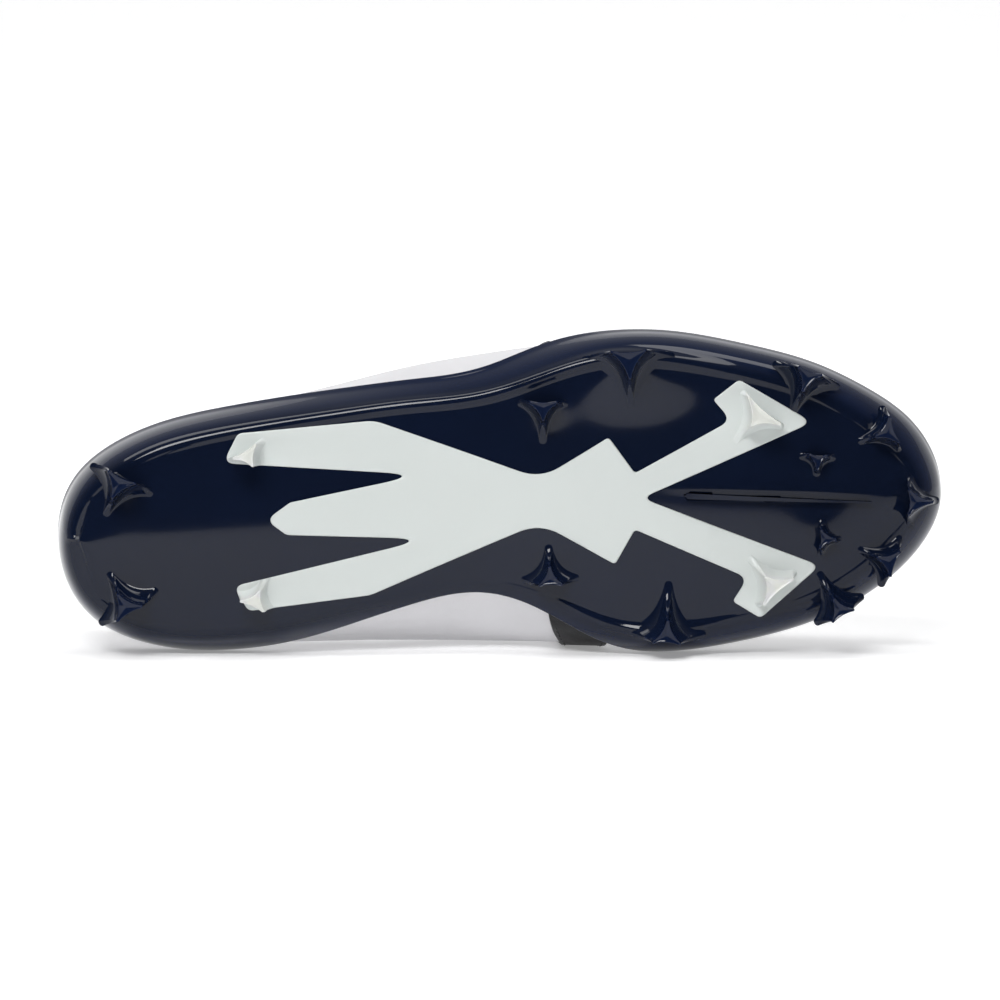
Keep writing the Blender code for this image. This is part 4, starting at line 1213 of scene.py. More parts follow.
class Finishes:
    """All the shoe's materials."""

    def __init__(self) -> None:
        """Makes each material once."""
        self.navy = MouldedGloss().make()
        self.milky = MilkyPlastic().make()
        white, soiled = (0.69, 0.685, 0.705, 1), (0.61, 0.605, 0.625, 1)
        self.white = SmoothSynthetic("white_synthetic", white, soiled, 0.38).make()
        black, soiled = (0.006, 0.006, 0.008, 1), (0.011, 0.011, 0.013, 1)
        black_sheet = SmoothSynthetic("black_synthetic", black, soiled, 0.42, 0.0, specular=0.22)
        self.black = black_sheet.make()
        self.knit = HoledKnit().make()
        grey, shade = (0.30, 0.31, 0.33, 1), (0.16, 0.165, 0.18, 1)
        self.lining = WovenCloth("lining_cloth", grey, shade, 0.8 * MM).make()
        white, shade = (0.66, 0.66, 0.68, 1), (0.40, 0.40, 0.43, 1)
        self.cloth = WovenCloth("white_cloth", white, shade).make()
        white, shade = (0.74, 0.74, 0.75, 1), (0.42, 0.42, 0.44, 1)
        self.lace = WovenCloth("lace_cloth", white, shade).make()
        grey, shade = (0.16, 0.17, 0.20, 1), (0.09, 0.095, 0.11, 1)
        self.sockliner = WovenCloth("grey_sockliner", grey, shade, 0.6 * MM).make()
        white, dull = (0.78, 0.78, 0.79, 1), (0.62, 0.62, 0.64, 1)
        self.thread = PlainFinish("white_thread", white, dull).make()
        black, dull = (0.018, 0.018, 0.020, 1), (0.03, 0.03, 0.034, 1)
        self.dark_thread = PlainFinish("black_thread", black, dull).make()
        black, dull = (0.010, 0.010, 0.011, 1), (0.02, 0.02, 0.02, 1)
        self.hole = PlainFinish("eyelet_hole", black, dull, 0.8).make()


@dataclass
class GroundFace:
    """The sole's ground face: its height, with the low mounds that the studs stand on."""

    last: Last
    mound: float = 0.45 * MM
    mound_reach: float = 9.0 * MM
    crown: float = 0.9 * MM

    def base_half(self, table: tuple, share: Grid) -> Grid:
        """Half width of the base on the side that an outline table gives."""
        knots, values = np.array(table)[:, :2].T
        return self.last.width(np.interp(share, knots, values), share)

    def relief(self, along: Grid, across: Grid) -> Grid:
        """Extra depth below the plain face: a crown that ends at the base's edge, 1 minus the
        squared share of the half width; and a mound round each stud and wide swells by the ball,
        all of them bells of their distance over their reach.

        Args:
            along: Places along the shoe.
            across: Places towards the lateral side.

        Returns:
            Depths in metres.
        """
        length = self.last.length
        share = (along - self.last.base_inset_heel) / self.last.base_reach()
        lateral = self.base_half(LATERAL, share)
        medial = self.base_half(LATERAL[:1] + MEDIAL + LATERAL[-1:], share)
        half = np.maximum((lateral + medial) / 2, 1 * MM)
        depth = self.crown * (1 - np.clip((across - (lateral - medial) / 2) / half, -1, 1) ** 2)
        for _, place, aside, *_, tall in SOLE_STUDS:
            away = np.hypot(along - place * length, across - aside * MM)
            depth = depth + self.mound * tall * bell(away, self.mound_reach)
        for place, aside, height, reach_along, reach_across, turn in GROUND_SWELLS:
            away = along - place * length + 1j * (across - aside * MM)
            away = away * np.exp(-1j * math.radians(turn)) / MM
            swell = bell(away.real, reach_along) * bell(away.imag, reach_across)
            depth = depth + height * MM * swell
        return depth

    def height(self, along: Grid, across: Grid) -> Grid:
        """Height of the ground face over the standing shoe's floor."""
        return self.last.ground(along) - self.relief(along, across)


@dataclass
class Stud:
    """A moulded three-pointed stud."""

    face: GroundFace
    row: tuple
    lift: float = 0.0
    full_height: float = 12 * MM
    rows: int = 30
    sink: float = 1.0 * MM
    rise_power: float = 1.45
    spread_power: float = 2.3
    foot_fillet: float = 0.07 * MM
    dish: tuple = ((1.0, 0.0), (0.93, -0.10), (0.86, 0.0), (0.6, 0.22), (0.3, 0.34), (0.0, 0.38))

    def patches(self) -> list:
        """The stud's side, its dished tip and its hidden root.

        With u from the tip, 0, to the foot, 1, the height left is (1 - u) to the rise power and
        the three ridges have spread by u to the spread power. A section has three round noses,
        joined by hollow sides that are quadratic curves.

        Returns:
            Three patches.
        """
        last, stud = self.face.last, dict(zip(STUD_COLUMNS, self.row))
        place = np.array((stud["along"] * last.length, stud["across"] * MM))
        heading = math.radians(stud["heading"])
        ahead = np.array((math.cos(heading), math.sin(heading)))
        beside = np.array((-ahead[1], ahead[0]))
        width, depth = stud["tip_width"] * MM / 2, stud["tip_depth"] * MM
        spine, wing = stud["spine_run"] * MM, stud["wing_run"] * MM
        u = np.linspace(0, 1, self.rows)
        rise, spread = (1 - u) ** self.rise_power, (u**self.spread_power)[:, None]
        wings = [place + beside * side * (width + wing * spread) for side in (1, -1)]
        tips = [tip + ahead * wing * spread * 0.3 for tip in wings]
        tips = np.stack(tips + [place + ahead * (depth + spine * spread)], axis=1)
        outline = self.section(tips, place + ahead * depth * 0.3, (0.45 + 0.9 * spread) * MM)
        along, across = outline[..., 0], outline[..., 1]
        slope = (last.ground(place[0] + MM) - last.ground(place[0] - MM)) / (2 * MM)
        height = stud["height"] * self.full_height
        ground = self.face.height(along, across)
        top = last.ground(place[0]) + slope * (along - place[0]) - height
        fillet = self.foot_fillet * u[:, None] ** 8
        up = ground + (top - ground) * rise[:, None] + fillet - self.lift
        side = standing(along, across, up)
        shrink, dish = np.array(self.dish).T
        middle = side[0].mean(axis=0)
        cap = middle + (side[0] - middle) * shrink[:, None, None]
        cap[..., 2] += dish[:, None] * MM
        foot, deep = side[-1], side[-1] + UP * self.sink
        pole = foot.mean(axis=0) + UP * self.sink
        root = np.stack((foot, deep, np.broadcast_to(pole, foot.shape)))
        # Tone is highest at the tip. On the navy studs it gives painted light; on the plate's
        # studs it gives the warm pearl tint.
        tone = np.repeat(np.clip(rise * 1.15, 0, 1)[:, None], side.shape[1], axis=1)
        return [Patch(side, tone=tone), Patch(cap, tone=np.ones(cap.shape[:2])), Patch(root)]

    @staticmethod
    def section(tips: Grid, centre: Grid, blunt: Grid) -> Grid:
        """Closed sections through three points each.

        Args:
            tips: Rows of three points.
            centre: The middle of the stud.
            blunt: Radius of the noses, one for each row.

        Returns:
            A grid of plan points, first and last column the same.
        """
        out = unit(tips - centre)
        side = np.stack((-out[..., 1], out[..., 0]), axis=-1)
        blunt = blunt[:, None]
        bow = np.radians(np.linspace(-90, 90, 7))[None, None, :, None]
        nose = (
            tips[:, :, None]
            + out[:, :, None] * blunt[..., None] * 0.8 * np.cos(bow)
            + side[:, :, None] * blunt[..., None] * np.sin(bow)
        )
        start, stop = tips + side * blunt, np.roll(tips - side * blunt, -1, axis=1)
        hollow = centre * 0.42 + (tips + np.roll(tips, -1, axis=1)) * 0.29
        start, hollow, stop = start[:, :, None], hollow[:, :, None], stop[:, :, None]
        t = np.linspace(0, 1, 12)[1:-1][None, None, :, None]
        curve = (1 - t) ** 2 * start + 2 * t * (1 - t) * hollow + t**2 * stop
        ring = np.concatenate((nose, curve), axis=2).reshape(len(tips), -1, 2)
        return np.concatenate((ring, ring[:, :1]), axis=1)


@dataclass
class Piece:
    """A part of the shoe, built on the last and dressed in the shoe's materials."""

    last: Last
    finishes: Finishes


@dataclass
class SpinePlate(Piece):
    """The X-shaped plate let into the sole, with a pearly stud at the end of each arm."""

    face: GroundFace
    depth: float = 1.1 * MM
    proud: float = 0.6 * MM
    gap: float = 0.3 * MM
    bevel: float = 0.45 * MM
    pocket_depth: float = 4 * MM
    clear_of_studs: float = 20 * MM

    def outline(self, grow: float) -> Grid:
        """The plate's outline in plan: straight runs, and corners that are quadratic curves.

        Args:
            grow: How far the outline is moved out.

        Returns:
            Plan points, along and across, always the same number of them.
        """
        plan = np.array([(c[0] * self.last.length, c[1] * MM) for c in PLATE_CORNERS])
        radius = np.array([c[2] for c in PLATE_CORNERS]) * MM
        before, after = np.roll(plan, 1, axis=0), np.roll(plan, -1, axis=0)
        one, two = unit(plan - before), unit(after - plan)
        area = float(np.sum(plan[:, 0] * after[:, 1] - plan[:, 1] * after[:, 0]))
        out = np.array((1, -1)) * math.copysign(1, area)
        n1, n2 = one[:, ::-1] * out, two[:, ::-1] * out
        moved = plan + (n1 + n2) * grow / (1 + np.sum(n1 * n2, axis=1, keepdims=True))
        back, ahead = (np.roll(moved, way, axis=0) - moved for way in (1, -1))
        shorter = np.minimum(np.linalg.norm(back, axis=1), np.linalg.norm(ahead, axis=1))
        back, ahead = unit(back), unit(ahead)
        half = np.arccos(np.clip(np.sum(back * ahead, axis=1), -1, 1)) / 2
        reach = np.minimum(radius / np.tan(half), 0.45 * shorter)[:, None, None]
        t = np.linspace(0, 1, 9)[None, :, None]
        bend = back[:, None] * (1 - t) ** 2 + ahead[:, None] * t**2
        corner = moved[:, None] + reach * bend
        leave, arrive = corner[:, -1:], np.roll(corner[:, :1], -1, axis=0)
        run = leave + (arrive - leave) * np.linspace(0, 1, 14)[None, 1:-1, None]
        return np.concatenate((corner, run), axis=1).reshape(-1, 2)

    def slab(
        self, name: str, grow: float, low: float, high: float, bevel: float = 0.0
    ) -> Thing:
        """A slab of the plate's outline that follows the ground face.

        Args:
            name: The object's name.
            grow: How far its outline is moved out.
            low: Its outer face, as a depth below the ground face.
            high: Its hidden face, as a height over the ground face.
            bevel: Radius of the outer face's edge.

        Returns:
            The object, laid down.
        """
        turn = np.linspace(0, math.pi / 2, 5) if bevel else np.array((0.0,))
        insets = np.concatenate(([0.0], bevel * (1 - np.cos(turn))))
        depths = np.concatenate(([-high], low - bevel + bevel * np.sin(turn)))
        plans = [self.outline(grow - inset) for inset in insets]
        count, tiers = len(plans[0]), len(plans)
        rings = np.stack([np.column_stack((p, np.full(count, d))) for p, d in zip(plans, depths)])
        quads = Patch(np.concatenate((rings, rings[:, :1]), axis=1)).quads(0)
        wrap = quads // (count + 1) * count + quads % (count + 1) % count
        lids = [list(range(first, first + count)) for first in (0, (tiers - 1) * count)]
        flat = bmesh.new()
        verts = [flat.verts.new(p) for p in rings.reshape(-1, 3)]
        for face in wrap.tolist() + lids:
            flat.faces.new([verts[i] for i in face])
        bmesh.ops.triangulate(flat, faces=[f for f in flat.faces if len(f.verts) > 4])
        along = np.arange(0.19, 0.87, 0.012) * self.last.length
        cuts = [((at, 0, 0), (1, 0, 0)) for at in along]
        cuts += [((0, at, 0), (0, 1, 0)) for at in np.arange(-36, 42, 6) * MM]
        for at, way in cuts:
            everything = flat.verts[:] + flat.edges[:] + flat.faces[:]
            bmesh.ops.bisect_plane(flat, geom=everything, plane_co=at, plane_no=way)
        bmesh.ops.recalc_face_normals(flat, faces=flat.faces)
        mesh = bpy.data.meshes.new(name)
        flat.to_mesh(mesh)
        flat.free()
        points = np.empty(len(mesh.vertices) * 3)
        mesh.vertices.foreach_get("co", points)
        along, across, depth = points.reshape(-1, 3).T
        points = standing(along, across, self.face.height(along, across) - depth)
        mesh.vertices.foreach_set("co", PLACEMENT.lay(points).reshape(-1))
        mesh.flip_normals()
        mesh.update()
        smooth(mesh, 35)
        return link(name, mesh)

    def pocket(self) -> Thing:
        """The cutter of the sole's pocket, a gap larger than the plate all round."""
        return self.slab("plate_pocket", self.gap, self.pocket_depth, self.depth + self.gap)

    def make(self) -> None:
        """The plate, and its studs where they stand on it."""
        plate = self.slab("spine_plate_face", 0.0, self.proud, self.depth, self.bevel)
        dress(plate, [self.finishes.milky], ["spine_plate"])
        lift = self.proud * 0.9
        patches = [p for row in PLATE_STUDS for p in Stud(self.face, row, lift=lift).patches()]
        studs = build("plate_studs", patches, 80)
        outline = self.slab("plate_outline", 0.0, self.clear_of_studs, self.depth)
        carve(studs, {"INTERSECT": [outline]}, 80)
        dress(studs, [self.finishes.milky], ["spine_plate"])


@dataclass
class Outsole(Piece):
    """The moulded sole: a bowl with a flared rim, a raised edge bead, studs and cuts."""

    face: GroundFace
    plate: SpinePlate
    columns: int = 480
    wall_gap: float = 0.4 * MM
    groove_width: float = 1.6 * MM
    groove_depth: float = 2.0 * MM
    groove_taper: float = 0.72
    groove: tuple = ((0.708, 4.2), (0.915, -1.6))
    flare: float = 0.55 * MM
    flare_reach: float = 1.6 * MM
    lip: float = 0.6 * MM
    bead_reach: float = 1.3 * MM
    # Share along, and the edge bead's height on the lateral and on the medial side in mm.
    bead: tuple = (
        (0.00, 0.00, 0.00),
        (0.10, 0.10, 0.00),
        (0.30, 0.30, 0.00),
        (0.42, 0.55, 0.00),
        (0.56, 0.75, 0.10),
        (0.62, 1.20, 0.45),
        (0.68, 1.00, 0.80),
        (0.74, 0.45, 0.20),
        (0.80, 0.20, 0.00),
        (0.87, 0.10, 0.00),
        (0.93, 0.00, 0.00),
        (1.00, 0.00, 0.00),
    )

    def edge_bead(self, angle: Grid) -> Grid:
        """Height of the bead along the base's edge: strongest beside the ball studs.

        Args:
            angle: Angles round the shoe.

        Returns:
            Heights in metres.
        """
        share = share_of(angle)
        knots, lateral, medial = np.array(self.bead).T
        on_lateral, on_medial = np.interp(share, knots, lateral), np.interp(share, knots, medial)
        return MM * np.where(np.sin(angle) >= 0, on_lateral, on_medial)

    def shell(self) -> Thing:
        """The bowl.

        Outside, the last is raised by the wall and by the ground face's relief, which fades out
        up the side; a bead, a bell of the distance over its reach, follows the base's edge, and
        the wall flares by such a bell at its rim. The rim is half an ellipse.

        Returns:
            The bowl without its cuts.
        """
        last = self.last
        angle = last.around(self.columns)[None, :]
        whole_round = np.ones_like(angle)
        rim = last.rim_level(angle)
        under = -1 + np.sin(np.linspace(0, math.pi / 2, 58))[:-1, None] * whole_round
        levels = np.concatenate((under, np.linspace(0, 1, 26)[:, None] * rim))
        angles = np.broadcast_to(angle, levels.shape)
        grid = last.surface(angles, levels)
        arc = arc_lengths(grid)
        relief = self.face.relief(grid[..., 0], -grid[..., 1]) * (1 - ease(levels, 0.0, 0.22))
        bead = self.edge_bead(angles) * bell(arc - arc[len(under)], self.bead_reach)
        flare = self.flare * ease(np.sin(angle), -0.15, 0.25)
        raised = last.shell + relief + bead + flare * bell(arc[-1:] - arc, self.flare_reach)
        outer = last.skin(angles, levels, raised)
        bow = np.linspace(0, math.pi, 9)[1:-1, None, None]
        low, high = self.wall_gap, (last.shell + flare)[..., None]
        lip = (
            last.surface(angle, rim)
            + last.outward(angle, rim) * ((low + high) / 2 + (high - low) / 2 * np.cos(bow))
            + last.climb(angle, rim) * self.lip * np.sin(bow)
        )
        down, inward = np.linspace(1, 0, 9)[:, None], np.linspace(0, 1, 7)[1:, None]
        back = np.concatenate((down * rim, -inward * whole_round))
        inner = last.skin(np.broadcast_to(angle, back.shape), back, self.wall_gap)
        grid = np.concatenate((outer, lip, inner))
        rest = ((0, len(grid) - len(levels)), (0, 0))
        # Tone up the side wall: painted lighter navy for the light that falls on it.
        tone = np.pad(ease(levels, 0.05, 0.30), rest, mode="edge")
        return build("outsole_shell", [Patch(grid, tone=tone)], 30)

    def groove_cutter(self) -> Thing:
        """A long wedge that cuts the groove down the forefoot.

        Its section is half an ellipse with straight sides out through the ground face, and its
        width grows from nothing over run_in and then shrinks by groove_taper of itself.

        Returns:
            The cutter.
        """
        start, stop = np.array(self.groove) * (self.last.length, MM)
        way = unit(stop - start)
        beside = np.array((-way[1], way[0]))
        run_in = 0.006
        t = np.linspace(-run_in, 1, 60)[:, None]
        opened = np.sqrt(np.clip((t + run_in) / (2 * run_in), 0, 1))
        half = self.groove_width / 2 * (1 - self.groove_taper * t) * opened
        bow = np.linspace(0, math.pi, 9)
        sideways = np.concatenate(((1.2,), np.cos(bow), (-1.2,)))[None, :]
        depth = np.concatenate(((-2.2,), np.sin(bow), (-2.2,)))[None, :]
        plan = (start + (stop - start) * t)[:, None] + beside * (half * sideways)[..., None]
        along, across = plan[..., 0], plan[..., 1]
        cut = np.where(depth > 0, depth * self.groove_depth, depth * MM)
        grid = standing(along, across, self.face.height(along, across) + cut)
        grid = np.concatenate((grid, grid[:, :1]), axis=1)
        return build("groove_cutter", [Patch(grid), ring_cap(grid[0]), ring_cap(grid[-1])])

    def make(self) -> None:
        """The sole with its pocket and groove cut out, and its studs."""
        sole = self.shell()
        carve(sole, {"DIFFERENCE": [self.plate.pocket(), self.groove_cutter()]}, 30)
        dress(sole, [self.finishes.navy], ["outsole"])
        patches = [patch for row in SOLE_STUDS for patch in Stud(self.face, row).patches()]
        studs = build("outsole_studs", patches, 38)
        dress(studs, [self.finishes.navy], ["outsole"])


@dataclass
class Upper(Piece):
    """The hollow upper: outside, rolled topline and lining, creased where the foot bends."""

    columns: int = 400
    lowest_level: float = -0.2

    def creases(self, points: Grid) -> Grid:
        """How far the creases press the upper in, summed over the crease table.

        Args:
            points: A grid of points of the last.

        Returns:
            Depths in metres, negative on a ridge.
        """
        sunk = np.zeros(points.shape[:-1])
        for places, sides, width, depth in CREASES:
            knots = np.arange(len(places))
            share, level = Spline(knots, places)(np.linspace(0, knots[-1], 40)).T
            for side in sides:
                path = self.last.surface(angle_on(Side(side), share), level)
                sunk += trough(points, path, width * MM) * depth * MM
        return sunk

    def make(self) -> None:
        """The shell in one closed mesh with three finishes: white, knit ahead of the side
        bands' middle line, and the lining.
        """
        last = self.last
        angle = last.around(self.columns)[None, :]
        low = np.linspace(self.lowest_level, 1, 40, endpoint=False)
        angles, levels = np.broadcast_arrays(
            angle, np.concatenate((low, np.linspace(1, 2, 64)))[:, None]
        )
        free = ease(levels, 0.6, 0.95) * (1 - ease(levels, 1.9, 2.0))
        outer = last.skin(angles, levels, -self.creases(last.surface(angles, levels)) * free)
        roll, _ = last.roll(angle, 9, 0.9)
        fall = np.concatenate((np.linspace(2, 1, 26), np.linspace(1, self.lowest_level, 16)[1:]))
        around, depths = np.broadcast_arrays(angle, fall[:, None])
        inner = last.skin(around, depths, -last.wall(around, depths))
        band_levels, backs, fronts = np.array(BAND).T
        border = np.interp(levels[:-1, :-1], band_levels, (backs + fronts) / 2)
        knit = (share_of(angles)[:-1, :-1] > border).astype(int)
        lining = np.concatenate((outer[-1:], roll, inner, outer[:1]))
        made = build("upper_shell", [Patch(outer, knit), Patch(lining, 2)], 50)
        looks = [self.finishes.white, self.finishes.knit, self.finishes.lining]
        dress(made, looks, ["upper"])


@dataclass
class Overlays(Piece):
    """Panels laid over the upper: side bands, facing, heel counter, toe guard, heel strip."""

    panel_edge: float = 0.7 * MM
    panel_base: float = 0.15 * MM
    band_base: float = 0.25 * MM
    band_thickness: float = 0.75 * MM
    band_edge: float = 0.6 * MM
    band_top: float = 1.80
    band_stitch: float = 1.02 * MM
    facing_base: float = 0.4 * MM
    facing_thickness: float = 1.2 * MM
    facing_start: float = 0.425
    facing_low: float = 1.78
    facing_stitch: float = 1.62 * MM
    counter_thickness: float = 0.7 * MM
    counter_reach: float = 0.235
    counter_high: float = 1.52
    counter_stitch: float = 0.90 * MM
    strip_base: float = 0.85 * MM
    strip_thickness: float = 0.8 * MM
    strip_half: float = 0.17
    strip_high: float = 1.90
    strip_stitch: float = 1.68 * MM
    guard_thickness: float = 0.6 * MM
    guard_start: float = 0.80
    guard_high: float = 1.06
    guard_stitch: float = 0.80 * MM
    seams: dict = field(default_factory=dict)

    def seam(self, group: str, angle: Grid, level: Grid, lift: float) -> None:
        """Adds a row of stitches along a line of places on the last."""
        line, normal = self.last.skin(angle, level, lift), self.last.outward(angle, level)
        self.seams.setdefault(group, []).extend(StitchLine().patches(line, normal))

    def edge_seams(
        self, angles: Grid, levels: Grid, insets: tuple, lift: float, trim: int
    ) -> None:
        """Rows of light stitches beside a panel's edge.

        Args:
            angles: The edge's angles.
            levels: The edge's levels.
            insets: How far below the edge each row runs, in levels.
            lift: Height of the stitches over the last.
            trim: How many of the edge's points they leave free at each end.
        """
        for inset in insets:
            self.seam("light", angles[trim:-trim], levels[trim:-trim] - inset, lift)

    def bands(self) -> None:
        """A plain slanted band on each side, from inside the sole's rim up to the facing."""
        levels, backs, fronts = np.array(BAND).T
        back, front = Spline(levels, backs), Spline(levels, fronts)
        for side, node in ((Side.LATERAL, "band_lateral"), (Side.MEDIAL, "band_medial")):
            start = self.last.rim_level(angle_on(side, (backs[0] + fronts[0]) / 2))
            level = (start - 0.02 + (self.band_top - start) * clustered(60))[:, None]
            share = back(level) + (front(level) - back(level)) * clustered(16)[None, :]
            level = np.broadcast_to(level, share.shape)
            angle = angle_on(side, share)
            sizes = (self.band_base, self.band_thickness, self.band_edge)
            patches = pillow(self.last, angle, level, *sizes)
            dress(build(f"side_{node}", patches), [self.finishes.black], [node])
            line = level[8:-4, 0]
            for place in (0.10, 0.90):
                edge = angle_on(side, back(line) + (front(line) - back(line)) * place)
                self.seam("dark", edge, line, self.band_stitch)

    def panel(
        self, name: str, edges: tuple, sizes: tuple, look: str = "white", nodes: tuple = ()
    ) -> None:
        """A panel between a lower and an upper line.

        Args:
            name: The object's name.
            edges: A row of angles, and the levels of both lines there.
            sizes: Its thickness, its rows of points and the height of its border.
            look: Its finish, white or black.
            nodes: The solids that it replaces.
        """
        angles, low, high = edges
        thickness, rows, base = sizes
        levels = low + (high - low) * clustered(rows)[:, None]
        angles = np.broadcast_to(angles, levels.shape)
        patches = pillow(self.last, angles, levels, base, thickness, self.panel_edge)
        finish = getattr(self.finishes, look)
        dress(build(name, patches), [finish], nodes)

    def facing(self) -> None:
        """The horseshoe of facing round the throat, with its edge stitching."""
        ends = angle_of(self.facing_start)
        angles = np.linspace(ends, TURN - ends, 280)
        share = share_of(angles)
        taper = 1 - ease(share, self.facing_start, 0.50)
        low = self.facing_low - 0.05 * ease(share, 0.60, 0.95) + 0.19 * taper
        top = np.full_like(angles, 2.0)
        sizes = (self.facing_thickness, 16, self.facing_base)
        self.panel("facing", (angles, low, top), sizes, nodes=("eyestay",))
        self.edge_seams(angles, low, (-0.035,), self.facing_stitch, 6)
        self.edge_seams(angles, top, (0.035,), self.facing_stitch, 22)

    def heel(self) -> None:
        """The heel counter, the strip over the back seam, and their stitching."""
        reach = angle_of(self.counter_reach)
        angles = np.linspace(-reach, reach, 180)
        share = share_of(angles)
        low = self.last.rim_level(angles) - 0.03
        high = self.counter_high - 0.50 * ease(share, 0.06, self.counter_reach)
        high = low + 0.05 + (high - low - 0.05) * (1 - ease(share, 0.13, 0.24)) ** 0.7
        sizes = (self.counter_thickness, 26, self.panel_base)
        self.panel("heel_counter", (angles, low, high), sizes)
        self.edge_seams(angles, high, (0.05, 0.085), self.counter_stitch, 12)
        angles = np.linspace(-self.strip_half, self.strip_half, 30)
        low, high = self.last.rim_level(angles) - 0.02, np.full_like(angles, self.strip_high)
        sizes = (self.strip_thickness, 40, self.strip_base)
        self.panel("heel_strip", (angles, low, high), sizes, "black")
        levels = np.linspace(0.86, 1.86, 60)
        for side in (-1, 1):
            edge = np.full_like(levels, side * self.strip_half * 0.80)
            self.seam("dark", edge, levels, self.strip_stitch)

    def toe(self) -> None:
        """A low guard round the toe, deeper in front, with a double row of stitches."""
        reach = math.pi - angle_of(self.guard_start)
        angles = np.linspace(math.pi - reach, math.pi + reach, 200)
        share = share_of(angles)
        low = self.last.rim_level(angles) - 0.05
        high = self.guard_high + 0.40 * ease(share, self.guard_start, 0.985)
        high = low + 0.05 + (high - low - 0.05) * ease(share, 0.795, 0.88) ** 0.7
        sizes = (self.guard_thickness, 26, self.panel_base)
        self.panel("toe_guard", (angles, low, high), sizes)
        self.edge_seams(angles, high, (0.04, 0.075), self.guard_stitch, 22)

    def make(self) -> None:
        """All the panels, then the stitches of each colour as one piece."""
        for panel in (self.bands, self.facing, self.heel, self.toe):
            panel()
        light, dark = self.finishes.thread, self.finishes.dark_thread
        threads = {"light": (light, "white_cloth"), "dark": (dark, "black_synthetic")}
        for group, patches in self.seams.items():
            thread, slot = threads[group]
            dress(build(f"stitches_{group}", patches, 80), [thread])


@dataclass
class Collar(Piece):
    """The padded roll of cloth round the foot opening."""

    reach: float = 0.40
    columns: int = 260
    puff: float = 1.9 * MM
    puff_power: float = 0.55
    outside_reach: float = 0.24
    inside_reach: float = 0.36
    lift: float = 0.15 * MM
    sink: float = 0.6 * MM
    gathers: float = 21.0
    channel_place: float = 0.20
    channel_width: float = 0.03

    def make(self) -> None:
        """A closed pad whose outline goes up the outside, over the topline and down the inside.

        Its puff is the sine of the way across the pad to the puff power, with a sewn channel
        pressed in beside the top and soft gathers every few centimetres.
        """
        last = self.last
        ends = angle_of(self.reach)
        angle = np.linspace(-ends, ends, self.columns)[None, :]
        taper = np.sin(np.linspace(0, math.pi, self.columns))[None, :] ** 0.25
        start, stop = (2 - reach * taper for reach in (self.outside_reach, self.inside_reach))
        levels = start + (2.0 - start) * np.linspace(0, 1, 16)[:, None]
        outside, outside_way = last.surface(angle, levels), last.outward(angle, levels)
        roll, roll_way = last.roll(angle, 15)
        levels = 2.0 + (stop - 2.0) * np.linspace(0, 1, 20)[:, None]
        inside_way = -last.outward(angle, levels)
        inside = last.surface(angle, levels) + inside_way * last.wall(angle, levels)[..., None]
        middle = np.concatenate((outside, roll, inside))
        way = np.concatenate((outside_way, roll_way, inside_way))
        across = np.linspace(0, 1, len(middle))[:, None]
        arch = np.sin(math.pi * across)
        ripple = 1 + 0.10 * np.sin(angle * self.gathers + 0.6) * arch
        channel = 1 - 0.45 * bell(across - self.channel_place, self.channel_width)
        puff = self.puff * np.clip(arch, 0, 1) ** self.puff_power * ripple * channel * taper
        pad = closed_pad(middle + way * (puff + self.lift)[..., None], middle - way * self.sink)
        made = build("collar_pad", pad, 60)
        dress(made, [self.finishes.lining], ["upper"])


@dataclass
class Tongue(Piece):
    """The padded tongue, under the laces and out above them."""

    rows: int = 90
    columns: int = 60
    thickness: float = 4.5 * MM
    drop: float = 2.6 * MM
    tuck: float = math.radians(20)
    toe_level: float = 1.84
    toe_drop: float = 2.4 * MM
    end_squeeze: float = 0.42
    puff: float = 0.9 * MM
    channel_depth: float = 0.8 * MM
    channels: int = 9

    def sheet(self) -> Grid:
        """The tongue's upper face: splines along and across its table's rows.

        Returns:
            A fine grid of points, from the toe's end up.
        """
        spread = np.array(TONGUE_ACROSS)
        front = self.last.surface(math.pi - spread * self.tuck, self.toe_level)
        front = front - UP * self.toe_drop
        shares, wide, drop = np.array(TONGUE_ROWS).T
        under = self.last.throat(angle_of(shares), spread[None, :] * wide[:, None])
        under = under - UP * drop[:, None, None] * MM
        edge = under[-1]
        middle = edge[len(spread) // 2] * (1, 0, 1) + edge.mean(axis=0) * (0, 1, 0)
        rise, back, narrow, flatten = np.array(TONGUE_END).T
        scale = np.stack((np.ones_like(narrow), narrow, flatten), axis=1)[:, None]
        move = np.stack((-back, np.zeros_like(back), rise), axis=1)[:, None] * MM
        coarse = np.concatenate((front[None], under, middle + (edge - middle) * scale + move))
        count = len(coarse)
        along = Spline(np.arange(count), coarse.reshape(count, -1))
        rows = along(np.linspace(0, count - 1, self.rows)).reshape(self.rows, len(spread), 3)
        turned = rows.transpose(1, 0, 2)[::-1].reshape(len(spread), -1)
        fine = Spline(spread[::-1], turned)(np.linspace(-1, 1, self.columns))
        return fine.reshape(self.columns, self.rows, 3).transpose(1, 0, 2)

    def make(self) -> None:
        """The pad: full in the middle, thin at its bound edges, with quilted channels across."""
        grid = self.sheet()
        half = self.columns // 2
        spine = grid[:, half - 1 : half + 1].mean(axis=1, keepdims=True)
        along, across = np.linspace(0, 1, self.rows)[:, None], np.linspace(-1, 1, self.columns)
        grid = spine + (grid - spine) * (1 - self.end_squeeze * along[..., None] ** 28)
        normal = unit(np.cross(np.gradient(grid, axis=1), np.gradient(grid, axis=0)))
        normal *= np.sign(normal[self.rows // 2, half, 2])
        full = (1 - np.abs(across) ** 5) ** 0.5
        full = full * np.clip(np.sin(math.pi * along) * 5, 0, 1) ** 0.5
        channels = bell((along * self.channels) % 1 - 0.5, 0.10) * ease(along, 0.72, 0.78)
        raised = self.puff * ease(along, 0.60, 0.80) - self.channel_depth * channels
        top = self.drop - raised * full
        bottom = self.drop + self.thickness * (0.35 + 0.65 * full)
        pad = closed_pad(grid - normal * top[..., None], grid - normal * bottom[..., None])
        made = build("tongue_pad", pad, 70)
        dress(made, [self.finishes.cloth], ["tongue"])


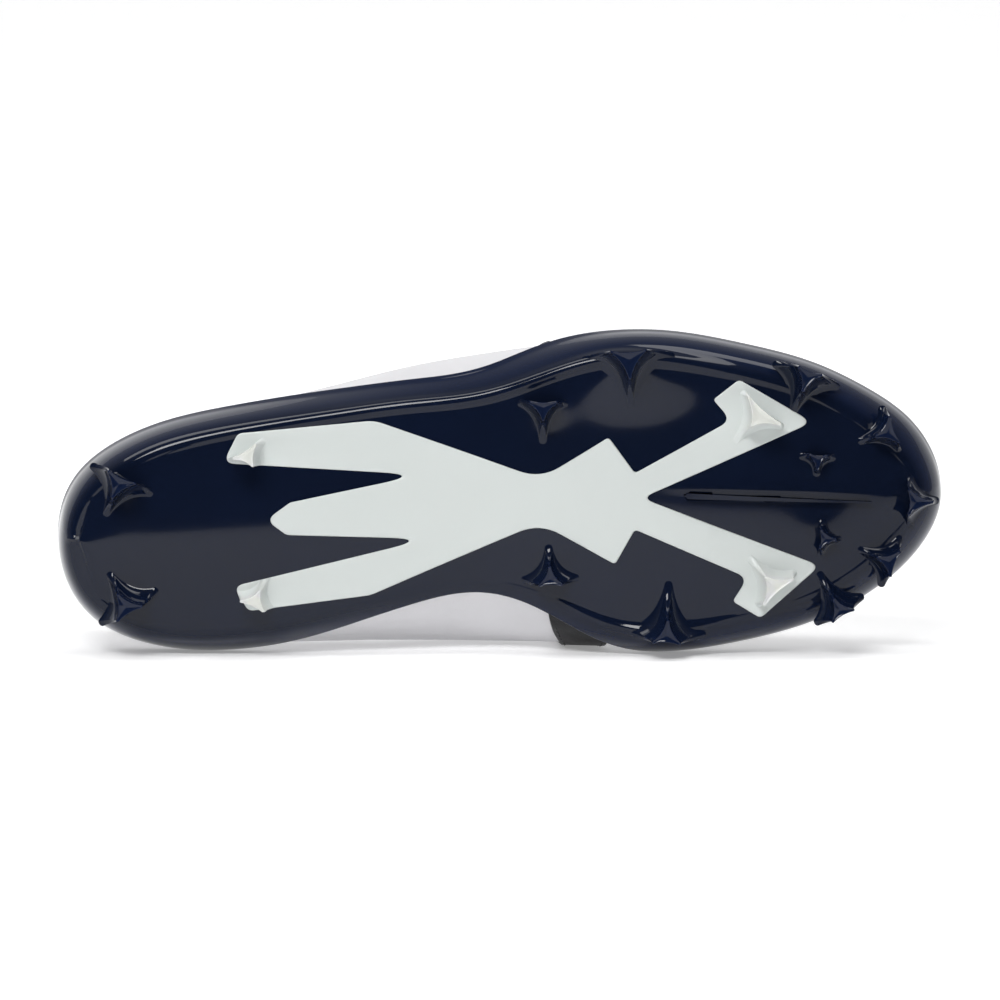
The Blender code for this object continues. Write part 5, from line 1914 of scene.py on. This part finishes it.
@dataclass
class Lacing(Piece):
    """Flat woven laces crossed through six pairs of eyelets."""

    pairs: int = 6
    first: float = 0.50
    toe_end: float = 0.885
    level: float = 1.89
    throat_edge: float = 1.99
    width: float = 6.5 * MM
    thickness: float = 1.3 * MM
    steps: int = 90
    eyelet_lift: float = 1.62 * MM
    # The hole's dish: radius and height of each ring in mm.
    dish: tuple = ((0.0, -0.05), (1.6, 0.02), (2.4, 0.08), (2.4, -0.6), (0.0, -0.6))

    def eyelet(self, pair: int, side: Side) -> tuple:
        """An eyelet's angle and level; pair 0 is nearest the toe."""
        share = self.toe_end + (self.first - self.toe_end) * pair / (self.pairs - 1)
        return angle_on(side, share), self.level

    def knots(self, eyelet: tuple, under: bool) -> list:
        """Points of a lace from an eyelet to the throat's edge, over or under the facing.

        Args:
            eyelet: Its angle and level.
            under: True where the lace stays under the facing.

        Returns:
            Points, the eyelet's first.
        """
        angle, level = eyelet
        steps = ((level, -2.5), (level, 1.0), (level + 0.03, 2.7), (self.throat_edge, 2.4))
        if under:
            steps = ((level, -3.2), (level + 0.02, -3.0), (self.throat_edge, -2.2))
        return [self.last.skin(angle, at, lift * MM) for at, lift in steps]

    def run(self, start: tuple, stop: tuple, over: float, dive: bool, hidden: bool) -> Patch:
        """One lace from eyelet to eyelet: through the hole, over the facing's edge, in an arch
        over the tongue, and down on the far side.

        Args:
            start: Angle and level of the eyelet that it comes out of.
            stop: Angle and level of the other one.
            over: Extra height at the crossing, in mm.
            dive: True where it goes under the far facing's edge.
            hidden: True where it comes from under the near facing's edge too.

        Returns:
            The lace as an open-ended tube.
        """
        head, tail = self.knots(start, hidden), self.knots(stop, dive)[::-1]
        middle = (head[-1] + tail[0]) / 2 + UP * (2.2 + over) * MM
        return self.flat_tube(np.array(head + [middle] + tail), unit(tail[0] - head[-1]))

    def bar(self) -> Patch:
        """The lowest lace: straight over the facing between the first two eyelets.

        Returns:
            The lace as an open-ended tube.
        """
        last, ends = self.last, [self.eyelet(0, side) for side in Side]
        near, far = ([last.skin(*end, lift * MM) for lift in (-2.5, 1.2)] for end in ends)
        levels = np.linspace(1.5, 2, 60)
        front = last.surface(math.pi, levels)[:, 0]
        middle = last.skin(math.pi, np.interp(-near[1][0], -front, levels), 2.9 * MM)
        inner = [near[1] + (far[1] - near[1]) * t + UP * 2.0 * MM for t in (0.16, 0.84)]
        line = np.array(near + [inner[0], middle, inner[1]] + far[::-1])
        return self.flat_tube(line, unit(far[1] - near[1]))

    def flat_tube(self, knots: Grid, chordal: Grid) -> Patch:
        """A flat lace along a spline, pinched where it goes into its holes.

        Its section is a superellipse: half the width times the root of the cosine, and half the
        thickness times the sine to the power 0.8.

        Args:
            knots: Points that it runs through.
            chordal: The direction from end to end, which keeps its face upwards.

        Returns:
            The lace as an open-ended tube, with its own lengths as UVs.
        """
        chord = arc_lengths(knots)
        line = Spline(chord, knots)(np.linspace(0, chord[-1], self.steps))
        way = unit(np.gradient(line, axis=0))
        flat_way = unit(np.cross(chordal, UP))
        across = unit(flat_way - way * np.sum(flat_way * way, axis=1, keepdims=True))
        above = np.cross(across, way)
        turn = np.linspace(0, TURN, 25)
        cos, sin = np.cos(turn), np.sin(turn)
        x = np.sign(cos) * np.abs(cos) ** 0.5 * self.width / 2
        y = np.sign(sin) * np.abs(sin) ** 0.8 * self.thickness / 2
        way_in = 0.66 + 0.34 * ease(np.linspace(0, 1, self.steps), 0.02, 0.16)
        wide = (x * (way_in * way_in[::-1])[:, None])[..., None]
        tube = line[:, None] + across[:, None] * wide + above[:, None] * y[None, :, None]
        girth = (turn / TURN * self.width * 2.3)[None, :]
        uv = np.stack(np.broadcast_arrays(arc_lengths(line)[:, None], girth), axis=-1)
        return Patch(tube, uv=uv)

    def turned(self, place: tuple, profile: Grid, steps: int) -> Patch:
        """A profile turned round an eyelet's axis.

        Args:
            place: The eyelet's angle and level.
            profile: Radius and height over the facing of each ring, in mm.
            steps: Points to a ring.

        Returns:
            A grid with a row for each ring.
        """
        normal, climb = self.last.outward(*place), self.last.climb(*place)
        turn = np.linspace(0, TURN, steps)[None, :, None]
        plane = np.cos(turn) * climb + np.sin(turn) * np.cross(normal, climb)
        radius, height = (np.asarray(profile) * MM).T[..., None, None]
        return Patch(self.last.skin(*place, self.eyelet_lift) + plane * radius + normal * height)

    def make(self) -> None:
        """The laces, and a reinforced ring and dark hole at each eyelet. The ring is a torus of
        3.1 mm, 0.9 mm by 0.45 mm in section.
        """
        runs = [self.bar()]
        for pair in range(self.pairs - 1):
            dive = pair < self.pairs - 2
            for side, over in ((Side.MEDIAL, -0.5), (Side.LATERAL, 1.5)):
                start, stop = self.eyelet(pair, side), self.eyelet(pair + 1, Side(-side.value))
                runs.append(self.run(start, stop, over, dive, pair == 0))
        lace = runs + [ring_cap(run.points[end]) for run in runs for end in (0, -1)]
        dress(build("lace", lace, 60), [self.finishes.lace], ["laces"])
        bow = np.linspace(0, TURN, 13)
        torus = np.column_stack((3.1 + 0.9 * np.cos(bow), 0.45 * np.sin(bow)))
        places = [self.eyelet(pair, side) for pair in range(self.pairs) for side in Side]
        rings = build("eyelet_rings", [self.turned(place, torus, 33) for place in places], 60)
        dress(rings, [self.finishes.white])
        holes = build("eyelet_holes", [self.turned(place, self.dish, 25) for place in places], 60)
        dress(holes, [self.finishes.hole])


@dataclass
class Insole(Piece):
    """The sockliner: a thin cupped footbed covered in brushed cloth."""

    columns: int = 240
    thickness: float = 3.5 * MM
    clearance: float = 2.3 * MM
    inset: float = 1.6
    rim_level: float = 0.28
    heel_dip: float = 0.9 * MM
    dip_place: float = 45 * MM
    dip_along: float = 28 * MM
    dip_across: float = 22 * MM

    def make(self) -> None:
        """A closed pad over the last's underside, cupped at its edge and with a soft heel dip."""
        last = self.last
        angle = last.around(self.columns)[None, :]
        levels = np.concatenate((np.linspace(-1, 0, 40), np.linspace(0, self.rim_level, 7)[1:]))
        around, levels = np.broadcast_arrays(angle, levels[:, None])
        side = unit(last.outward(angle, 0.35) * (1, 1, 0))
        edge = np.clip(levels + 1, 0, 1)[..., None] ** 4
        low = last.surface(around, levels) - side * self.clearance * self.inset * edge
        ground = last.seat(low[..., 0])
        low[..., 2] = ground + self.clearance + np.maximum(low[..., 2] - ground, 0)
        dip = bell(low[..., 0] - self.dip_place, self.dip_along)
        dip = dip * bell(low[..., 1], self.dip_across)
        high = low + UP * (self.thickness - self.heel_dip * dip)[..., None]
        edge_strip = Patch(np.stack((low[-1], high[-1])))
        made = build("sockliner", [Patch(low), Patch(high), edge_strip], 60)
        dress(made, [self.finishes.sockliner], ["insole"])


@dataclass
class Studio:
    """Pale floor and sweep, soft boxes and the camera at the photo's angle."""

    elevation: float = 5.5
    distance: float = 1.8
    frame_width: float = 0.335
    frame_centre: tuple = (0.0, -0.04, 0.052)
    sensor: float = 36.0
    floor_half: float = 8.0
    floor_front: float = -1.25
    sweep_start: float = 2.2
    sweep_radius: float = 1.2
    wall_height: float = 3.0
    floor_glow: float = 0.26
    wall_glow: float = 0.62

    def floor(self) -> None:
        """A floor that sweeps up into a wall: flat, then a quarter circle, then upright. It
        glows a little, more towards the wall, so that it stays white behind the shoe.
        """
        bow = np.linspace(0, math.pi / 2, 24)
        wall = self.sweep_start + self.sweep_radius
        sweep = self.sweep_start + self.sweep_radius * np.sin(bow)
        y = np.concatenate(([self.floor_front], sweep, [wall]))
        z = np.concatenate(([0.0], self.sweep_radius * (1 - np.cos(bow)), [self.wall_height]))
        x = np.array((-self.floor_half, self.floor_half))
        grid = np.stack(np.broadcast_arrays(x[None, :], y[:, None], z[:, None]), axis=-1)
        mesh = bpy.data.meshes.new("floor")
        mesh.from_pydata(grid.reshape(-1, 3).tolist(), [], Patch(grid).quads(0).tolist())
        mesh.shade_smooth()
        made = link("floor", mesh)
        graph = Graph("pale_floor")
        pale, dull = (0.90, 0.90, 0.905, 1), (0.88, 0.88, 0.885, 1)
        shade = graph.blend(graph.noise(3.0, 2.0), pale, dull)
        relief = graph.bump(graph.noise(500.0, 2.0), 0.05 * MM, 0.05)
        place = graph.add("ShaderNodeSeparateXYZ", {}, {0: graph.solid}).outputs["Y"]
        brighter = graph.ramp(place, 0.10, 0.90, self.floor_glow, self.wall_glow)
        glow = {"Emission Color": (1, 1, 1, 1), "Emission Strength": brighter}
        graph.feed(graph.shader, {"Base Color": shade, "Roughness": 0.6, "Normal": relief} | glow)
        mesh.materials.append(graph.material)

    def soft_box(self, name: str, place: tuple, aim: tuple, size: tuple, power: float) -> None:
        """An area light that faces a point.

        Args:
            name: Its name.
            place: Where it stands.
            aim: The point.
            size: Its width and height.
            power: Its power in watts.
        """
        light = bpy.data.lights.new(name, "AREA")
        light.shape = "RECTANGLE"
        light.size, light.size_y = size
        light.energy = power
        made = link(name, light)
        made.location = place
        made.rotation_euler = (Vector(aim) - Vector(place)).to_track_quat("-Z", "Y").to_euler()

    def sky(self) -> None:
        """Surroundings that are white behind the shoe and dim behind the camera."""
        world = bpy.data.worlds.new("studio")
        bpy.context.scene.world = world
        world.use_nodes = True
        tree = world.node_tree
        place = tree.nodes.new("ShaderNodeTexCoord")
        split = tree.nodes.new("ShaderNodeSeparateXYZ")
        level = tree.nodes.new("ShaderNodeMapRange")
        ranges = {"From Min": -0.6, "From Max": 0.95, "To Min": 0.03, "To Max": 0.62}
        for name, value in ranges.items():
            level.inputs[name].default_value = value
        tree.links.new(place.outputs["Generated"], split.inputs[0])
        tree.links.new(split.outputs["Y"], level.inputs["Value"])
        back = tree.nodes["Background"]
        back.inputs["Color"].default_value = (1, 1, 1, 1)
        tree.links.new(level.outputs[0], back.inputs["Strength"])

    def camera(self) -> None:
        """The camera at the photo's height and distance, centred on the whole shoe."""
        rise = math.radians(self.elevation)
        away = Vector((0, -math.cos(rise), math.sin(rise)))
        data = bpy.data.cameras.new("camera")
        data.sensor_width = self.sensor
        data.lens = self.sensor * self.distance / self.frame_width
        data.clip_end = 50.0
        made = link("camera", data)
        made.location = Vector(self.frame_centre) + away * self.distance
        made.rotation_euler = (-away).to_track_quat("-Z", "Y").to_euler()
        bpy.context.scene.camera = made

    def make(self) -> None:
        """Everything round the shoe."""
        self.floor()
        self.sky()
        self.soft_box("overhead_box", (0.0, -0.10, 1.6), (0.0, 0.0, 0.05), (2.6, 0.45), 15.0)
        self.soft_box("front_box", (-0.35, -1.2, 1.15), (0.0, -0.05, 0.05), (0.9, 0.4), 17.0)
        self.camera()
        bpy.context.scene.view_settings.view_transform = "Standard"


def main() -> None:
    """Builds the studio, then the shoe from the sole up, logging each piece and its triangles."""
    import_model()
    Studio().make()
    last = Last()
    face = GroundFace(last)
    base = (last, Finishes())
    plate = SpinePlate(*base, face)
    over_the_sole = [kind(*base) for kind in (Upper, Overlays, Collar, Tongue, Lacing, Insole)]
    for piece in [Outsole(*base, face, plate), plate] + over_the_sole:
        log.info("making %s", type(piece).__name__)
        piece.make()


if __name__ == "__main__":
    main()
